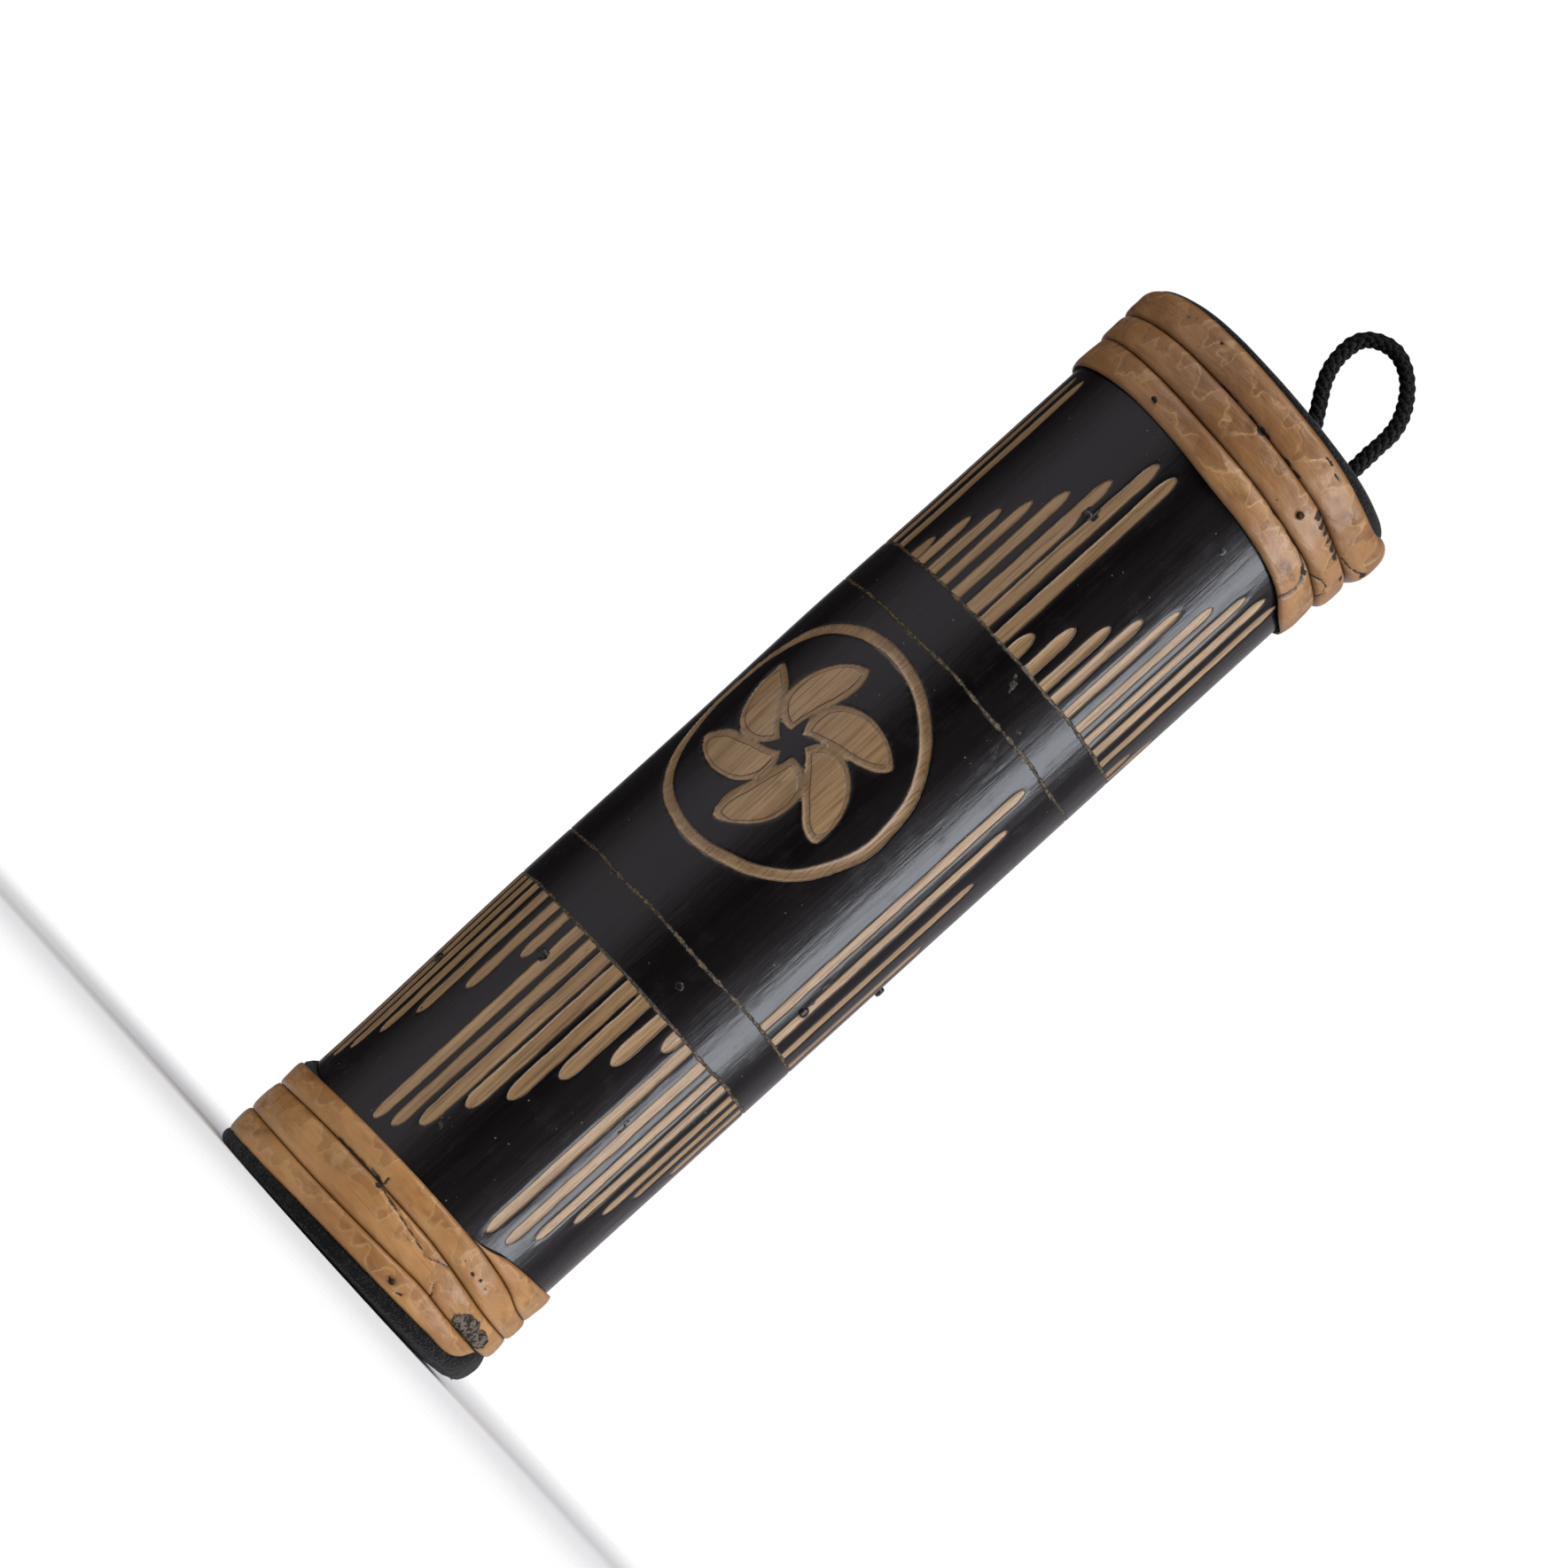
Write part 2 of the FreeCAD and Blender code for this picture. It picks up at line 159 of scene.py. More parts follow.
def grid_faces(rows, columns, closed_rows=False, closed_columns=True):
    """Quads of a grid of points. Its rows and its columns may each go round."""
    r = np.arange(rows if closed_rows else rows - 1)[:, None]
    c = np.arange(columns if closed_columns else columns - 1)[None, :]
    up, right = (r + 1) % rows, (c + 1) % columns
    return np.stack([r * columns + c, r * columns + right,
                     up * columns + right, up * columns + c], axis=-1).reshape(-1, 4).tolist()


def ring_shape(rings, closed=False, marks=None):
    """A shape from rings of points: closed on itself, or with a flat face at each end."""
    rows, count = rings.shape[:2]
    faces = grid_faces(rows, count, closed_rows=closed)
    if not closed:
        faces += [range(count)[::-1], range((rows - 1) * count, rows * count)]
    return rings.reshape(-1, 3), faces, marks or {}


def capped_shape(rings, first, last):
    """A shape from rings of points whose ends close to points on the axis at two heights."""
    rows, count = rings.shape[:2]
    total, end = rows * count, (rows - 1) * count
    after = [(k + 1) % count for k in range(count)]
    faces = grid_faces(rows, count)
    faces += [(total, right, left) for left, right in enumerate(after)]
    faces += [(end + left, end + right, total + 1) for left, right in enumerate(after)]
    return np.concatenate([rings.reshape(-1, 3), [[0, 0, first], [0, 0, last]]]), faces, {}


def joined(shapes):
    """Several shapes as one."""
    starts = np.cumsum([0] + [len(points) for points, faces, marks in shapes])
    faces = [[k + start for k in face] for shape, start in zip(shapes, starts) for face in shape[1]]
    marks = {name: np.concatenate([np.ravel(shape[2][name]) for shape in shapes])
             for name in shapes[0][2]}
    return np.concatenate([shape[0] for shape in shapes]), faces, marks


def padded(field, rows, value):
    """A field of numbers with some rows of one value after it."""
    return np.concatenate([field, np.full((rows, field.shape[1]), value)])


def make_piece(node, kind, shape, material, body=BODY):
    """A smooth mesh piece that takes the place of a CAD node."""
    name = f"{node}_{kind}"
    points, faces, marks = shape
    mesh = bpy.data.meshes.new(name)
    flat = np.asarray(points, float).reshape(-1, 3) * MM
    mesh.from_pydata(flat.tolist(), [], [list(map(int, f)) for f in faces])
    for mark, values in marks.items():
        layer = mesh.attributes.new(mark, "FLOAT", "POINT")
        layer.data.foreach_set("value", np.asarray(values, np.float32).ravel())
    mesh.shade_smooth()
    mesh.materials.append(material)
    piece = bpy.data.objects.new(name, mesh)
    bpy.context.scene.collection.objects.link(piece)
    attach(piece, body)
    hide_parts(node)
    return piece


# ---------------------------------------------------------------- materials

def srgb(red, green, blue):
    """A colour given as 0 to 255 display values, in linear light."""
    parts = [c / 255.0 for c in (red, green, blue)]
    return [c / 12.92 if c <= 0.04045 else ((c + 0.055) / 1.055) ** 2.4 for c in parts] + [1.0]


class Nodes:
    """Shader nodes built from small steps. Each step gives back a socket."""

    def __init__(self, tree):
        self.tree = tree

    def put(self, socket, value):
        """Link a socket to another, or set its value."""
        if isinstance(value, bpy.types.NodeSocket):
            self.tree.links.new(value, socket)
        else:
            socket.default_value = value

    def node(self, kind, inputs=None, **settings):
        made = self.tree.nodes.new("ShaderNode" + kind)
        for key, value in settings.items():
            setattr(made, key, value)
        for socket, value in (inputs or {}).items():
            self.put(made.inputs[socket], value)
        return made

    def math(self, operation, first, second=0.0):
        return self.node("Math", {0: first, 1: second}, operation=operation).outputs[0]

    def add(self, first, second):
        return self.math("ADD", first, second)

    def minus(self, first, second):
        return self.math("SUBTRACT", first, second)

    def times(self, first, second):
        return self.math("MULTIPLY", first, second)

    def step(self, value, low, high, start=0.0, end=1.0):
        """start below low, end above high, and an even change between."""
        inputs = {"Value": value, "From Min": low, "From Max": high, "To Min": start, "To Max": end}
        return self.node("MapRange", inputs, interpolation_type="SMOOTHSTEP").outputs["Result"]

    def fall(self, value, low, high):
        """1 below low, 0 above high, and an even change between."""
        return self.step(value, low, high, 1.0, 0.0)

    def within(self, value, rise, fall):
        """1 between the two (low, high) slopes and 0 on either side."""
        return self.times(self.step(value, *rise), self.fall(value, *fall))

    def mix(self, amount, first, second):
        made = self.node("Mix", {"Factor": amount, 6: first, 7: second}, data_type="RGBA")
        return made.outputs[2]


class Recipe(Nodes):
    """A node material."""

    def __init__(self, name, **fixed):
        self.material = bpy.data.materials.new(name)
        self.material.use_nodes = True
        super().__init__(self.material.node_tree)
        self.shader = self.tree.nodes["Principled BSDF"]
        for socket, value in fixed.items():
            self.shader.inputs[socket.replace("_", " ")].default_value = value
        self.place = self.node("TexCoord").outputs["Object"]

    def scaled(self, size, stretch, shift=0.0):
        """Places counted in features of a size in millimetres, stretched along the axes."""
        return self.node("Mapping", {
            "Vector": self.place, "Scale": [1 / (size * MM * s) for s in stretch],
            "Location": (shift, shift * 0.7, shift * 1.3)}).outputs["Vector"]

    def noise(self, size, stretch=(1, 1, 1), detail=4.0, roughness=0.55, shift=0.0):
        """Noise from 0 to 1 with features of a size in millimetres."""
        return self.node("TexNoise", {
            "Vector": self.scaled(size, stretch, shift), "Scale": 1.0, "Detail": detail,
            "Roughness": roughness}).outputs["Fac"]

    def centred(self, noise, amount):
        """Noise from 0 to 1 made to run from -amount / 2 to amount / 2."""
        return self.times(self.minus(noise, 0.5), amount)

    def cells(self, size, stretch=(1, 1, 1)):
        """Distance to scattered cells of a size in millimetres."""
        place = self.scaled(size, stretch)
        return self.node("TexVoronoi", {"Vector": place, "Scale": 1.0}).outputs["Distance"]

    def mark(self, name):
        return self.node("Attribute", attribute_name=name).outputs["Fac"]

    def layers(self, color, *coats):
        """A colour under coats of (where, colour, share). Colours are sockets or display values."""
        for where, tone, share in coats:
            amount = where if share == 1 else self.times(where, share)
            color, tone = (c if isinstance(c, bpy.types.NodeSocket) else srgb(*c)
                           for c in (color, tone))
            color = self.mix(amount, color, tone)
        return color

    def finish(self, color, roughness, *bumps):
        """The material. bumps are (height from 0 to 1, depth in millimetres), the lowest first."""
        for height, depth in bumps:
            bump = self.node("Bump", {"Strength": 1.0, "Distance": depth * MM, "Height": height})
            if self.shader.inputs["Normal"].is_linked:
                self.put(bump.inputs["Normal"], self.shader.inputs["Normal"].links[0].from_socket)
            self.put(self.shader.inputs["Normal"], bump.outputs["Normal"])
        self.put(self.shader.inputs["Base Color"], color)
        self.put(self.shader.inputs["Roughness"], roughness)
        return self.material


def bamboo_material():
    """Black lacquer over bamboo. carve, petal and score are distances in mm from the cut edges,
    below zero inside a cut; crack is the distance from a crack in the lacquer."""
    r = Recipe("carved_bamboo")
    carve, score, crack, petal = (r.mark(m) for m in ("carve", "score", "crack", "petal"))
    offset = r.centred(r.noise(0.9, stretch=(1, 1, 2.5), detail=5.0), 0.24)
    carve, petal = r.add(carve, offset), r.add(petal, offset)
    wood = r.fall(carve, -0.05, 0.05)
    scored = r.fall(r.add(score, r.centred(r.noise(0.55, shift=3.0), 0.7)), -0.07, 0.07)
    cracked = r.fall(r.add(crack, offset), 0.02, 0.16)
    bare = r.math("MAXIMUM", wood, scored)

    fibre = r.noise(0.32, stretch=(1, 1, 38), detail=6.0, roughness=0.65)
    board = r.noise(2.2, stretch=(1, 1, 14), detail=3.0, shift=1.7)
    streak = r.noise(0.45, stretch=(1, 1, 50), detail=2.0, shift=15.0)
    blotch = r.noise(1.3, stretch=(1, 1, 3), shift=7.0)
    # Darker brown band just inside each gouge's edge: partly the lacquer's cut edge, partly painted
    # shade where the groove wall shades the wood.
    rim_edge_and_shade = r.step(carve, -0.20, -0.04)
    inset = r.within(petal, (-1.22, -1.10), (-1.04, -0.92))
    slope = r.within(petal, (-1.0, -0.9), (-0.2, -0.1))
    pale = r.layers(
        (146, 114, 77), (r.step(board, 0.3, 0.7), (170, 138, 99), 1),
        (r.step(fibre, 0.46, 0.66), (102, 76, 46), 0.75),
        (r.step(streak, 0.54, 0.66), (182, 150, 108), 0.30),
        (r.step(blotch, 0.62, 0.80), (122, 92, 58), 1), (rim_edge_and_shade, (74, 52, 29), 0.62),
        (inset, (60, 42, 24), 0.8), (slope, (104, 76, 46), 0.30))
    cut = r.layers(
        (40, 30, 18), (r.step(r.noise(0.7, detail=5.0, shift=5.0), 0.4, 0.62), (106, 84, 48), 1),
        (r.step(r.noise(1.1, detail=3.0, shift=9.0), 0.66, 0.72), (138, 124, 98), 1))

    speck = r.fall(r.add(r.cells(2.1), r.times(r.noise(0.5, shift=4.0), 0.16)), 0.12, 0.16)
    speck = r.times(speck, r.step(r.noise(6.0, detail=1.0, shift=6.0), 0.46, 0.53))
    cloud = r.noise(5.0, stretch=(1, 1, 5), shift=2.0)
    color = r.layers(
        (14, 10, 11), (r.step(cloud, 0.35, 0.7), (21, 17, 17), 1), (speck, (104, 104, 92), 0.7),
        (wood, pale, 1), (scored, cut, 1), (cracked, (16, 12, 9), 1))

    brush = r.noise(0.42, stretch=(1, 1, 45), detail=5.0, shift=8.0)
    gloss = r.step(brush, 0.3, 0.75, 0.16, 0.27)
    gloss = r.add(gloss, r.times(r.step(r.noise(4.0, shift=11.0), 0.5, 0.75), 0.10))
    gloss = r.add(gloss, r.times(speck, 0.3))
    roughness = r.add(r.times(gloss, r.minus(1.0, bare)), r.times(bare, 0.27))
    r.put(r.shader.inputs["Specular IOR Level"], r.add(r.times(wood, 0.32), 0.5))
    wavy = r.noise(1.9, stretch=(1, 1, 5), shift=12.0)
    return r.finish(
        color, roughness, (r.step(carve, -0.24, 0.0), 0.22),
        (r.fall(r.add(petal, 1.07), -0.12, 0.12), 0.10), (brush, 0.020), (wavy, 0.075),
        (r.times(fibre, bare), 0.11), (r.times(r.noise(0.4, shift=13.0), scored), 0.25))


def rattan_material(name, dark, mid, light, peeled, seed):
    """Split rattan skin: fine fibres round the hoop, mottled wax, pale edges of peeled skin.
    across runs from -1 to 1 over the hoop's width, crack is the distance from a crack in mm,
    burn is 1 on the charred knot and shade is 1 in soiled gaps."""
    r = Recipe(name, Specular_IOR_Level=0.45)
    across, crack, burn, shade = (r.mark(m) for m in ("across", "crack", "burn", "shade"))
    fibre = r.noise(0.35, stretch=(30, 30, 1), detail=6.0, roughness=0.62, shift=seed)
    cloud = r.noise(7.0, stretch=(2, 2, 1), shift=seed + 1)
    mottle = r.noise(3.2, stretch=(2.5, 2.5, 1), shift=seed + 2)

    drip = r.noise(3.0, stretch=(1, 1, 4), detail=0.7, shift=seed + 3)
    peel = r.minus(across, r.minus(2.60, r.times(drip, 4.6)))
    peel = r.add(peel, r.centred(r.noise(1.9, detail=0.8, shift=seed + 4), 1.6))
    inside = r.step(peel, 0.0, 0.14)
    faint = r.step(r.noise(5.0, detail=1.0, shift=seed + 7), 0.34, 0.58, 0.14, peeled)
    outline = r.times(r.within(peel, (-0.26, -0.02), (0.02, 0.26)), faint)

    # Darker towards both rounded edges of each hoop, where the hoops meet: painted shade.
    edge_shade = r.step(r.math("ABSOLUTE", across), 0.80, 1.0)
    pore = r.fall(r.cells(1.9), 0.06, 0.12)
    pore = r.times(pore, r.step(r.noise(6.0, shift=seed + 6), 0.5, 0.62))
    ragged = r.centred(r.noise(0.6, stretch=(2, 2, 1), shift=seed + 5), 0.5)
    cracked = r.fall(r.add(crack, ragged), 0.06, 0.20)
    soil = r.centred(r.noise(1.3, stretch=(1, 1, 1.2), shift=seed + 8), 2.4)
    soiled = r.step(r.add(shade, soil), 0.58, 0.70)
    char = r.noise(1.0, detail=5.0, roughness=0.7, shift=seed + 9)
    heat = r.add(burn, r.centred(char, 0.9))
    charred = r.step(heat, 0.44, 0.50)
    flaky = r.step(r.noise(0.7, shift=seed + 12), 0.44, 0.56)
    ash = r.layers((30, 25, 22), (flaky, (116, 103, 88), 1))
    ash = r.layers((24, 18, 15), (r.step(heat, 0.50, 0.66), ash, 1))
    color = r.layers(
        mid, (r.step(cloud, 0.32, 0.68), light, 1), (r.step(mottle, 0.5, 0.8), dark, 0.75),
        (r.step(fibre, 0.5, 0.78), dark, 0.42), (inside, dark, 0.24), (outline, (186, 150, 104), 1),
        (edge_shade, dark, 0.55), (pore, (58, 38, 22), 0.8), (cracked, (38, 25, 16), 0.9),
        (soiled, (30, 24, 20), 1), (charred, ash, 1))

    gloss = r.step(r.noise(3.0, stretch=(3, 3, 1), shift=seed + 10), 0.3, 0.7, 0.26, 0.46)
    dull = r.math("MAXIMUM", r.times(charred, 0.45), r.times(soiled, 0.4))
    lumps = r.noise(2.6, stretch=(2, 2, 1), detail=3.0, shift=seed + 11)
    return r.finish(color, r.add(gloss, dull), (fibre, 0.05), (inside, 0.05), (lumps, 0.40),
                    (r.times(char, charred), 0.5))


def cloth_material():
    """Black knitted cloth with fine pale specks: lint, and painted highlight glints."""
    r = Recipe("black_knit", Sheen_Weight=0.12, Sheen_Roughness=0.5, Specular_IOR_Level=0.2)
    knit = r.fall(r.cells(0.55, stretch=(1, 1, 0.8)), 0.05, 0.6)
    # Pale bluish specks: partly lint, partly painted highlight glints on the knit.
    lint_and_glints = r.step(r.noise(0.35, detail=2.0, shift=2.0), 0.66, 0.72)
    worn = r.step(r.noise(6.0, detail=3.0, shift=4.0), 0.5, 0.75)
    color = r.layers((4, 4, 5), (knit, (19, 17, 19), 1), (lint_and_glints, (70, 68, 74), 0.6),
                     (worn, (34, 32, 36), 0.3))
    return r.finish(color, r.step(knit, 0.0, 1.0, 0.95, 0.8), (knit, 0.16))


def cord_material():
    """Slightly shiny black yarn."""
    r = Recipe("black_yarn", Specular_IOR_Level=0.16)
    yarn = r.noise(0.16, stretch=(1, 1, 3))
    color = r.layers((4, 3, 4), (r.step(yarn, 0.4, 0.7), (13, 11, 12), 1))
    return r.finish(color, r.step(yarn, 0.3, 0.7, 0.35, 0.6), (yarn, 0.06))


def disc_material():
    """Plain wood with its grain across the discs."""
    r = Recipe("disc_wood", Specular_IOR_Level=0.3)
    ring = r.noise(1.6, stretch=(1, 12, 12))
    fibre = r.noise(0.3, stretch=(1, 12, 12), detail=5.0, shift=3.0)
    color = r.layers((190, 158, 112), (r.step(ring, 0.35, 0.65), (150, 116, 74), 1),
                     (r.step(fibre, 0.5, 0.75), (150, 116, 74), 0.5))
    return r.finish(color, r.step(fibre, 0.3, 0.7, 0.55, 0.75), (fibre, 0.08))


def pin_material():
    """Bamboo sliver inside the bore, lacquered black where it shows outside the tube."""
    r = Recipe("pin", Specular_IOR_Level=0.5)
    fibre = r.noise(0.3, stretch=(6, 6, 1), detail=5.0)
    worn = r.step(r.noise(0.5, shift=2.0), 0.5, 0.7)
    painted = r.layers((9, 7, 6), (worn, (44, 36, 26), 1))
    outside = r.step(r.mark("outside"), 0.3, 0.7)
    color = r.layers((190, 158, 110), (r.step(fibre, 0.4, 0.65), (140, 105, 62), 1),
                     (outside, painted, 1))
    return r.finish(color, r.minus(0.65, r.times(outside, 0.35)), (fibre, 0.06))


def seed_material():
    """Hard brown seeds, mottled and speckled."""
    r = Recipe("seed_skin", Specular_IOR_Level=0.45)
    mottle = r.noise(1.1, detail=5.0)
    fleck = r.step(r.noise(0.35, detail=3.0, shift=2.0), 0.62, 0.7)
    color = r.layers((120, 78, 42), (r.step(mottle, 0.35, 0.65), (168, 122, 74), 1),
                     (fleck, (64, 38, 20), 1))
    return r.finish(color, r.step(mottle, 0.3, 0.7, 0.35, 0.55), (mottle, 0.12))


def brad_material():
    """Dark steel with a little rust."""
    r = Recipe("dark_steel", Metallic=1.0)
    rust = r.noise(0.35, detail=5.0)
    color = r.layers((52, 46, 42), (r.step(rust, 0.45, 0.65), (74, 46, 30), 1))
    return r.finish(color, r.step(rust, 0.3, 0.7, 0.4, 0.75), (rust, 0.05))


# ---------------------------------------------------------------- the carved tube

SCORED = [139.2, 130.4, 72.4, 62.6]
MEDALLION = (-28.5, 105.4)
RING_OUT, RING_IN = 21.8, 19.8
ROSETTE_R, PETAL_START, PETALS = 16.5, 2.2, 6

# Gouge marks seen on the front: (angle, height of the free end, width).
UPPER_FRONT = [
    (-75.3, 178.1, 2.0), (-66.9, 177.9, 2.3), (-55.1, 144.0, 2.2), (-50.0, 150.0, 2.0),
    (-42.7, 154.0, 2.1), (-35.8, 158.2, 1.9), (-28.6, 163.2, 2.1), (-20.9, 169.0, 2.0),
    (-20.1, 162.0, 2.3), (-13.7, 175.9, 2.1), (-13.9, 161.2, 2.2), (-6.1, 176.3, 2.15),
    (0.9, 143.9, 2.4), (9.0, 149.3, 2.1), (16.9, 153.6, 1.9), (23.0, 158.0, 1.9),
    (30.5, 163.6, 1.75), (38.6, 168.0, 1.75), (45.6, 173.1, 1.7), (53.2, 175.4, 2.0),
    (61.6, 176.3, 2.0), (73.4, 144.6, 2.2),
]
LOWER_FRONT = [
    (-81.0, 20.5, 2.2), (-74.2, 21.5, 2.0), (-68.0, 24.2, 2.1), (-60.9, 29.1, 2.1),
    (-53.5, 35.3, 2.25), (-44.9, 43.4, 2.1), (-38.1, 52.7, 1.9), (-29.9, 19.6, 2.2),
    (-22.8, 20.9, 2.1), (-16.0, 24.2, 2.4), (-9.6, 31.1, 2.4), (-2.1, 36.6, 2.45),
    (4.6, 44.5, 2.5), (13.2, 51.6, 2.5), (21.8, 58.8, 2.5), (28.0, 20.6, 2.1),
    (37.1, 21.6, 2.1), (45.0, 25.3, 1.9), (51.9, 31.4, 1.9), (60.2, 35.7, 1.9),
    (67.6, 41.0, 1.9), (76.0, 47.6, 1.9),
]
MIDDLE_FRONT = [(42.9, 127.4, 2.0), (52.0, 121.6, 1.9), (63.4, 112.5, 2.0), (76.5, 100.4, 1.9)]


def back_marks(starts, steps, first, rise, width, seed):
    """Gouge marks round the back: groups that start at the given angles and step in height."""
    rng = np.random.default_rng(seed)
    marks = []
    for start in starts:
        for number in range(steps):
            angle = start + 7.3 * number + rng.uniform(-0.5, 0.5)
            height = first + rise * number + rng.uniform(-0.8, 0.8)
            marks.append((angle, height, width * rng.uniform(0.9, 1.1)))
    return marks


UPPER = UPPER_FRONT + back_marks([81.0, 140.0, 200.0], 7, 149.6, 4.8, 2.0, 3)
UPPER += [(248.0, 144.5, 2.1), (255.0, 150.0, 2.0), (262.0, 155.5, 2.0), (269.5, 161.0, 2.0),
          (277.0, 170.5, 2.0)]
LOWER = LOWER_FRONT + back_marks([86.0, 146.0, 206.0], 7, 20.5, 5.6, 2.3, 4)
LOWER += [(266.0, 57.0, 2.0)]
MIDDLE = MIDDLE_FRONT + [(89.0, 92.0, 2.0), (101.0, 84.0, 2.0)]
MIDDLE += back_marks([118.0, 193.0], 6, 127.0, -8.2, 2.0, 5)

# Cracks in the lacquer: stations of (angle, height).
TUBE_CRACKS = [
    [(-17.3, 170.8), (-16.9, 166.0), (-16.9, 162.9)],
    [(50.0, 84.5), (50.3, 81.0), (50.2, 78.6)],
    [(-33.9, 59.5), (-33.2, 56.5), (-33.0, 54.0)],
    [(-35.0, 57.0), (-33.0, 55.6), (-31.4, 56.2)],
]
# Dark stains round torn baffle pins: (angle, height, radius).
STAINS = [(-16.9, 162.9, 1.2), (-16.8, 164.6, 0.6), (50.3, 79.4, 1.1), (50.0, 81.4, 0.6),
          (-33.4, 55.4, 1.25), (-33.9, 57.3, 0.7)]
# Chips that show the wood, as stations of (angle, height).
CHIPS = [
    [(7.1, 137.8), (8.9, 136.4), (10.2, 135.2)], [(8.0, 136.2), (9.5, 136.9)],
    [(21.5, 131.9), (24.8, 132.6)], [(21.5, 128.6), (22.8, 127.6), (24.5, 127.0)],
    [(-13.5, 27.3), (-11.0, 28.0)], [(-12.0, 26.5), (-9.5, 26.0)], [(33.5, 48.0), (34.6, 45.6)],
    [(48.2, 85.6), (48.8, 83.4)], [(48.6, 82.4), (49.6, 81.2)], [(-55.0, 36.9), (-53.6, 36.2)],
]
# Blisters in the lacquer, and plugged holes that show as faint circles: (angle, height, radius).
BLISTERS = [(36.3, 112.5, 0.8), (43.0, 98.0, 0.5), (45.5, 93.5, 0.45), (47.0, 88.0, 0.6),
            (44.5, 85.0, 0.4), (34.0, 74.5, 0.45), (9.5, 66.5, 0.5), (12.5, 64.8, 0.4),
            (-28.0, 133.5, 0.5), (-61.0, 101.0, 0.5)]
PLUGS = [(18.1, 30.4, 1.2), (-40.9, 25.3, 1.3)]


def point_gap(angle, height, a, z):
    """Distance in mm from points on the tube to one place on it."""
    return line_gap(angle, height, [(a, z), (a, z + 0.1)])


def gouge(angle, height, mark, base, tip_length):
    """Distance in mm from a gouge mark: straight sides, one cut end and one rounded tip."""
    middle, tip, width = mark
    side = 1.0 if tip > base else -1.0
    u = np.radians(wrap(angle - middle)) * TUBE_R
    half = width / 2
    long = min(tip_length * half, abs(tip - base) * 0.8)
    along = np.maximum(side * (height - tip) + long, 0.0)
    p, q = np.abs(u) / half, along / long
    k0 = np.sqrt(p * p + q * q)
    k1 = np.sqrt((p / half) ** 2 + (q / long) ** 2)
    end = k0 * (k0 - 1.0) / np.maximum(k1, 1e-6)
    shape = np.where(along > 0, end, np.abs(u) - half)
    return np.maximum(shape, side * (base - height))


def medallion(angle, height):
    """Distance in mm from the carved ring and from the petals of the rosette inside it."""
    u = np.radians(wrap(angle - MEDALLION[0])) * TUBE_R
    v = height - MEDALLION[1]
    place = np.stack([u, v, 0 * u], axis=-1)
    out = np.hypot(u, v)
    ring = np.abs(out + 0.11 * waves(place, 8.0, 21) - (RING_OUT + RING_IN) / 2)
    ring -= (RING_OUT - RING_IN) / 2
    turn = np.arctan2(u, v) - 0.062 * out
    share = 2 * math.pi / PETALS
    off = (turn + share / 2) % share - share / 2
    reach = np.clip((out - PETAL_START) / (ROSETTE_R - PETAL_START), 0.0, 1.0)
    half = 4.75 * np.sin(math.pi * reach**1.2) ** 0.72
    petal = out * np.abs(off) - half + 0.12 * waves(place, 5.0, 22)
    petal = np.maximum(np.maximum(petal, out - ROSETTE_R), PETAL_START - 0.2 - out)
    return ring, petal * 0.85


def carving(angle, height):
    """Distances in mm from all carved wood, from the medallion alone, and from the scored rings."""
    place = on_tube(angle, height, TUBE_R)
    carve = np.full(angle.shape, FAR)
    for marks, base, tip in ((UPPER, SCORED[0], 3.4), (MIDDLE, SCORED[2], 3.2),
                             (LOWER, SCORED[3], 2.6)):
        for mark in marks:
            carve = np.minimum(carve, gouge(angle, height, mark, base, tip))
    carve += 0.05 * waves(place, 6.0, 31)
    petal = np.minimum(*medallion(angle, height))
    score = np.full(angle.shape, FAR)
    for number, level in enumerate(SCORED):
        wander = 0.13 * waves(place * [1, 1, 0], 11.0, 40 + number)
        width = 0.24 + 0.06 * waves(place * [1, 1, 0], 2.0, 50 + number)
        score = np.minimum(score, np.abs(height - level - wander) - width)
    for stations in CHIPS:
        score = np.minimum(score, line_gap(angle, height, stations) - 0.2)
    return np.minimum(carve, petal), petal, score


def cut_depth(carve, petal, score):
    """How deep the tools have cut, in mm."""
    inside = np.clip(-carve, 0.0, 1.0)
    groove = 0.17 * np.sqrt(1 - (1 - inside) ** 2)
    outline = 0.38 * smooth(0.0, 0.45, -petal) - 0.14 * smooth(0.6, 1.3, -petal)
    return np.maximum(np.where(petal < 0, outline, groove), 0.20 * smooth(0.0, 0.3, -score))


